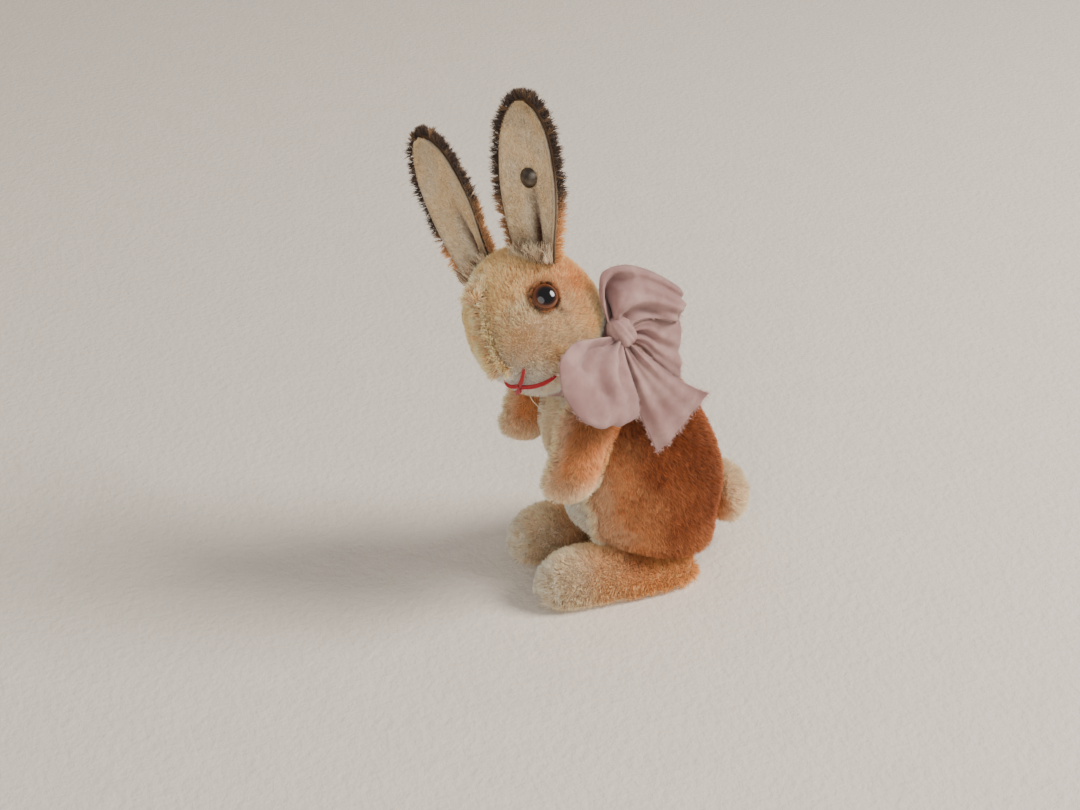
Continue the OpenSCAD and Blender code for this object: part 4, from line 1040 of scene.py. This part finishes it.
def fringe_of(name, p, n, seed, free_end):
    """Loose threads along the raw edges of a strip."""
    g = np.random.default_rng(seed + 50)
    roots, ways, sizes = [], [], []
    for edge, inner in ((p[:, 0], p[:, 2]), (p[:, -1], p[:, -3])):
        k = g.integers(6, len(edge) - 1, 420)
        away = unit(edge[k] - inner[k])
        slide = unit(edge[k] - edge[k - 1])
        roots.append(edge[k] - away * 0.1)
        ways.append(away + slide * g.normal(0, 0.9, (len(k), 1)) + n[k, 0] * g.normal(0, 0.5, (len(k), 1)))
        sizes.append(g.uniform(0.25, 0.95, len(k)) ** 1.4)
    if free_end:
        k = g.integers(0, p.shape[1], 260)
        away = unit(p[-1, k] - p[-4, k])
        roots.append(p[-1, k] - away * 0.1)
        ways.append(away + g.normal(0, 0.25, (len(k), 3)))
        sizes.append(g.uniform(0.5, 1.5, len(k)))
    roots, ways, sizes = np.concatenate(roots), unit(np.concatenate(ways)), np.concatenate(sizes)
    tone = blend(PINK, srgb(232, 206, 202),
                 g.random(len(roots)))
    ob = strands(name, roots, ways, sizes * 1.3, 0.075, tone, "torso", FLUFF, seed=seed + 51, curl=0.6, clump=0.2,
                 tip_shade=1.05)
    return ob


def build_knot():
    rows, columns = 60, 72
    lat = np.linspace(0.03, math.pi - 0.03, rows)
    ang = np.arange(columns) * 2 * math.pi / columns
    t, a = np.meshgrid(lat, ang, indexing="ij")
    pleat = 0.30 * np.sin(5 * a + 1.5 * t) + 0.16 * np.sin(11 * a - t)
    waist = 1 - 0.18 * np.exp(-((t - math.pi / 2) / 0.4) ** 2)
    r = (3.3 + pleat * np.sin(t)) * waist
    local = np.stack([r * np.sin(t) * np.cos(a) * 0.85, r * np.sin(t) * np.sin(a) * 1.05, 4.6 * np.cos(t)], -1)
    local = local + 0.5 * (cloud(local, 2.6, 3)[..., None] - 0.5)
    p = turned_x(local, 32) + KNOT + np.array([1.0, 0.4, 0.2])
    ends = np.stack([p[0].mean(0), p[-1].mean(0)])
    ob = closed_object("bow_knot", np.concatenate([p.reshape(-1, 3), ends]), grid_faces(rows, columns, around=True),
                       rows, columns, SILK, np.ones((rows * columns + 2, 3)), False)
    layer = ob.data.uv_layers.new(name="Flat")
    flat = np.concatenate([np.stack([a * 3.3, 4.6 * t], -1).reshape(-1, 2), [[0, 0], [0, 14]]])
    index = np.zeros(len(ob.data.loops), np.int32)
    ob.data.loops.foreach_get("vertex_index", index)
    layer.uv.foreach_set("vector", flat[index].astype(np.float32).ravel())
    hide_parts("ribbon_knot")
    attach(ob, "torso")


def build_band():
    rows, columns = 160, 28
    ang, ring = np.meshgrid(np.arange(rows) * 2 * math.pi / rows, np.arange(columns) * 2 * math.pi / columns,
                            indexing="ij")
    thick = 0.55 + 0.14 * np.sin(3 * ring + 4 * ang) + 0.10 * np.sin(9 * ang)
    wide = 1.75 + 0.3 * np.sin(5 * ang + 1)
    pleat = 0.16 * np.sin(6 * ring + 2 * ang)
    r = 11.75 + (thick + pleat) * np.cos(ring)
    local = np.stack([r * np.cos(ang), r * np.sin(ang), wide * np.sin(ring)], -1)
    p = turned_x(local, NECK_LEAN) + NECK
    faces = grid_faces(rows + 1, columns, around=True) % (rows * columns)
    flat = np.stack([11.8 * ang, 1.8 * ring], -1)
    ob = mesh_object("bow_band", p, faces[:, ::-1], SILK, np.full((rows * columns, 3), 0.85), flat=flat)
    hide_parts("ribbon_band")
    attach(ob, "torso")


def build_ribbon():
    width = 18
    cloth("bow_loop_upper", LOOP_UPPER, (width, 53), "ribbon_loop_upper", ((2, 1.15), (3.6, 0.8)), 3,
          loop=True, swell=1.6, grooves=((0.34, 0.18, 0.13, 3.2, 0.4, 2.9), (0.75, 0.9, 0.1, 1.4, 1.0, 4.0)))
    cloth("bow_loop_lower", LOOP_LOWER, (width, 46), "ribbon_loop_lower", ((1.8, 0.9), (3.4, 0.5)), 4,
          loop=True, swell=1.0, grooves=((0.3, 0.4, 0.12, 2.8, 0.2, 2.4), (0.62, 0.58, 0.09, 2.0, 0.2, 3.4),
                                      (0.85, 0.82, 0.07, 1.4, 0.3, 2.8)))
    cloth("bow_tail_front", TAIL_FRONT, (width, 26), "ribbon_tail_front", ((1.8, 0.9), (3.4, 0.55)), 5)
    cloth("bow_tail_back", TAIL_BACK, (width, 20), "ribbon_tail_back", ((2.2, 1.15), (4.2, 0.8)), 6)
    build_knot()
    build_band()


camera()
stage()
build_body()
build_head()
build_limbs()
for ear_side, ear_name in ((1, "left"), (-1, "right")):
    build_ear(ear_side, ear_name)
build_eyes()
build_stitches()
build_whisker()
build_ribbon()
finish_hardware()
